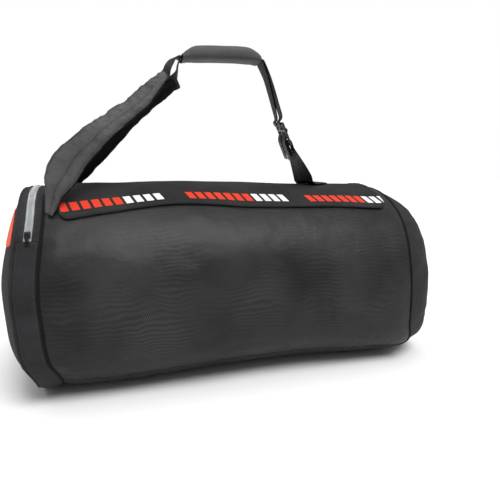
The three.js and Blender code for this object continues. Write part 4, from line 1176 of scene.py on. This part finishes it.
# Hard pieces keep their solids' shape, with the moulded edges broken
def roundedCopy(name, node, material, width):
    bm = bmesh.new()
    bm.from_mesh(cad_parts[node].data)
    bmesh.ops.remove_doubles(bm, verts=bm.verts, dist=2e-5)
    bmesh.ops.dissolve_limit(bm, angle_limit=math.radians(1), verts=bm.verts, edges=bm.edges)
    piece = addObject(name, bm, material, [node], smooth=False)
    edge = piece.modifiers.new("edge", "BEVEL")
    edge.width = width * mm
    edge.segments = 3
    edge.limit_method = "ANGLE"
    edge.angle_limit = math.radians(40)
    return piece


roundedCopy("front_lock", "front_adjuster", acetal, 0.7)
roundedCopy("back_lock", "back_adjuster", acetal, 0.7)
roundedCopy("zip_runner", "zip_slider", zinc, 0.25)
roundedCopy("zip_tab", "zip_puller", zinc, 0.2)
print("hard pieces made")


# Rows of stitches along the seams
def skinLine(stations, angles, depth=0):
    count = 200 if abs(angles[1] - angles[0]) + abs(stations[1] - stations[0]) > 60 else 12
    points, normals = [], []
    for k in range(count + 1):
        share = k / count
        station = stations[0] + (stations[1] - stations[0]) * share
        angle = math.radians(angles[0] + (angles[1] - angles[0]) * share)
        points.append(clothPoint(station, wrapped(angle), depth))
        normals.append(skinOut(station, wrapped(angle)))
    return points, normals


seams = {"fromPiping": 5.5, "fromZip": 2.2, "fromBase": 4, "fromCorner": 2, "besideEnd": 1.1}
atPocket = -start - seams["fromPiping"] + 2
atEnd = start - bag["pocket"] + seams["fromPiping"] - 2
fromTop = bag["zipEnd"] + seams["fromCorner"]
around = (fromTop, 360 - fromTop)
tops = (-bag["zipEnd"] + 1, bag["zipEnd"] - 1)
lines = [
    skinLine((atPocket, atPocket), around), skinLine((atEnd, atEnd), around),
    skinLine((inner + seams["fromZip"],) * 2, tops), skinLine((outer - seams["fromZip"],) * 2, tops),
]
for sign in (1, -1):
    for angle in (bag["zipEnd"] + seams["besideEnd"], bag["zipEnd"] - seams["besideEnd"]):
        for stations in ((atEnd - 1, outer - seams["fromZip"]), (inner + seams["fromZip"], atPocket + 1)):
            lines.append(skinLine(stations, (sign * angle, sign * angle)))
baseShift = math.degrees(seams["fromBase"] / half)
for sign in (1, -1):
    angle = sign * (bag["baseSeam"] + baseShift)
    lines.append(skinLine((start + 4, end - 4), (angle, angle)))
sew("seam_stitches", lines, bondedThread)


def placedLine(place, path, count=300):
    points, normals = [], []
    for k in range(count + 1):
        u, v = path(k / count)
        du = place(min(u + 0.002, 1), v)[0] - place(max(u - 0.002, 0), v)[0]
        dv = place(u, min(v + 0.002, 1))[0] - place(u, max(v - 0.002, 0))[0]
        points.append(place(u, v)[0])
        normals.append(du.cross(dv).normalized())
    return points, normals


def faceOut(line, ways):
    points, normals = line
    return points, [n if n.dot(way) > 0 else -n for n, way in zip(normals, ways)]


# Where the rows run, as shares of the width of the flap and straps and the length of the wrap
rowsAt = {"flap": (0.022, 0.978), "strap": (0.045, straps["seam"] + 0.028, 0.955), "wrap": (0.055, 0.945)}
upward = [Vector((0, 0, 1))] * 421
rows = []
for v in rowsAt["flap"]:
    line = placedLine(flapPlace, lambda k, v=v: (0.03 + 0.94 * k, v), 420)
    rows.append(faceOut(line, upward))
sew("flap_stitches", rows, bondedThread)

for side, word in sides:
    rows = []
    for face, share in [(face, share) for face in (1, -1) for share in rowsAt["strap"]]:
        k = max(n for n, line in enumerate(strapLines) if line <= share)
        turn = (k + (share - strapLines[k]) / (strapLines[k + 1] - strapLines[k])) / (len(strapLines) - 1)
        at = turn / 2 if face > 0 else 1 - turn / 2
        line = placedLine(strapPlace(side), lambda k, at=at: (0.03 + 0.92 * k, at))
        rows.append(faceOut(line, [strapFrame(side, 0.03 + 0.92 * k / 300)[2] * face for k in range(301)]))
    sew(word + "_strap_stitches", rows, strapThread)

rows = []
for share in rowsAt["wrap"]:
    line = placedLine(wrapPlace, lambda k, u=wrap["outer"] * share: (u, k), 200)
    middle = sum(line[0], Vector()) / len(line[0])
    rows.append(faceOut(line, [point - middle for point in line[0]]))
for turn in (wrap["seam"] - 10, wrap["seam"] + 10):
    line = placedLine(wrapPlace, lambda k, t=turn / 360: (wrap["outer"] * (0.08 + 0.84 * k), t), 200)
    rows.append(faceOut(line, upward))
sew("wrap_stitches", rows, paleThread)

# Box and cross of stitches that hold each anchor strap's foot
footBox = [(0, 0.1), (1, 0.1), (1, 0.9), (0, 0.9), (0, 0.1), (1, 0.9), (1, 0.1), (0, 0.9)]
for side, word in sides:
    left, right = ribbonEdges(anchorRows(side))
    total = len(left) - 1
    low, high = (total - 2.4) / total, (total - 0.12) / total
    rows = []
    for (u0, s0), (u1, s1) in zip(footBox, footBox[1:]):
        points = []
        for k in range(21):
            u = low + (high - low) * (u0 + (u1 - u0) * k / 20)
            share = s0 + (s1 - s0) * k / 20
            onFoot = curveThrough(left, u).lerp(curveThrough(right, u), share)
            points.append(onFoot + upward[0] * webbing["thick"] / 2)
        rows.append((points, upward[:21]))
    sew(word + "_anchor_stitches", rows, bondedThread)
print("stitches sewn")

# Pale floor, soft studio light and the camera at the photograph's angle
studio = {
    "low": 0.1, "high": 0.75, "backdrop": 1, "floor": 12,
    "lamps": {
        "overhead": ((-0.3, 0.1, 2.0), 60, 0.9),
        "key": ((0.4, -1.15, 2.0), 30, 2.6),
    },
}
bm = bmesh.new()
bmesh.ops.create_grid(bm, x_segments=1, y_segments=1, size=studio["floor"])
floor = linkObject("floor", meshFrom(bm, "floor"))
paper, tree, surface = newMaterial("paleBackdropPaper", Roughness=0.9)
spot = addNode(tree, "TexCoord").outputs["Object"]
fibre = addNode(tree, "TexNoise", {"Scale": 600, "Detail": 2}, {"Vector": spot})
tones = {"data_type": "RGBA", 6: linear("#e6e6e6"), 7: linear("#eaeaea")}
tone = addNode(tree, "Mix", tones, {0: fibre})
tree.links.new(tone.outputs[2], surface.inputs["Base Color"])
floor.data.materials.append(paper)

# Light from the sky grows towards the top, and the camera sees an even white behind the bag
sky = bpy.data.worlds.new("studio")
bpy.context.scene.world = sky
sky.use_nodes = True
tree = sky.node_tree
axes = addNode(tree, "SeparateXYZ", links={0: addNode(tree, "TexCoord").outputs["Generated"]})
rise = {"From Min": 0, "From Max": 0.9, "To Min": studio["low"], "To Max": studio["high"]}
glow = addNode(tree, "MapRange", rise, {"Value": axes.outputs[2]})
fill = addNode(tree, "Background", {"Color": (1, 1, 1, 1)}, {"Strength": glow})
backdrop = addNode(tree, "Background", {"Color": (1, 1, 1, 1), "Strength": studio["backdrop"]})
seen = addNode(tree, "LightPath")
blend = addNode(tree, "MixShader", {}, {0: seen.outputs["Is Camera Ray"], 1: fill, 2: backdrop})
tree.links.new(blend.outputs[0], tree.nodes["World Output"].inputs["Surface"])

for name, (spot, softness, power) in studio["lamps"].items():
    lamp = bpy.data.lights.new(name, "SUN")
    lamp.angle = math.radians(softness)
    lamp.energy = power
    holder = linkObject(name, lamp)
    holder.location = spot
    holder.rotation_euler = (-Vector(spot)).to_track_quat("-Z", "Y").to_euler()
bpy.context.scene.view_settings.view_transform = "Standard"

view = {"spot": (-0.2024, -0.889, 0.3732), "yaw": 16.43, "pitch": 10.08, "lens": 32.64, "sensor": 36}
eye = bpy.data.cameras.new("camera")
eye.lens = view["lens"]
eye.sensor_width = view["sensor"]
eye.sensor_fit = "HORIZONTAL"
eye.clip_start = 0.01
camera = linkObject("camera", eye)
camera.location = view["spot"]
yaw, pitch = math.radians(view["yaw"]), math.radians(view["pitch"])
aim = Vector((math.sin(yaw) * math.cos(pitch), math.cos(yaw) * math.cos(pitch), -math.sin(pitch)))
camera.rotation_euler = aim.to_track_quat("-Z", "Y").to_euler()
bpy.context.scene.camera = camera
print("stage set")
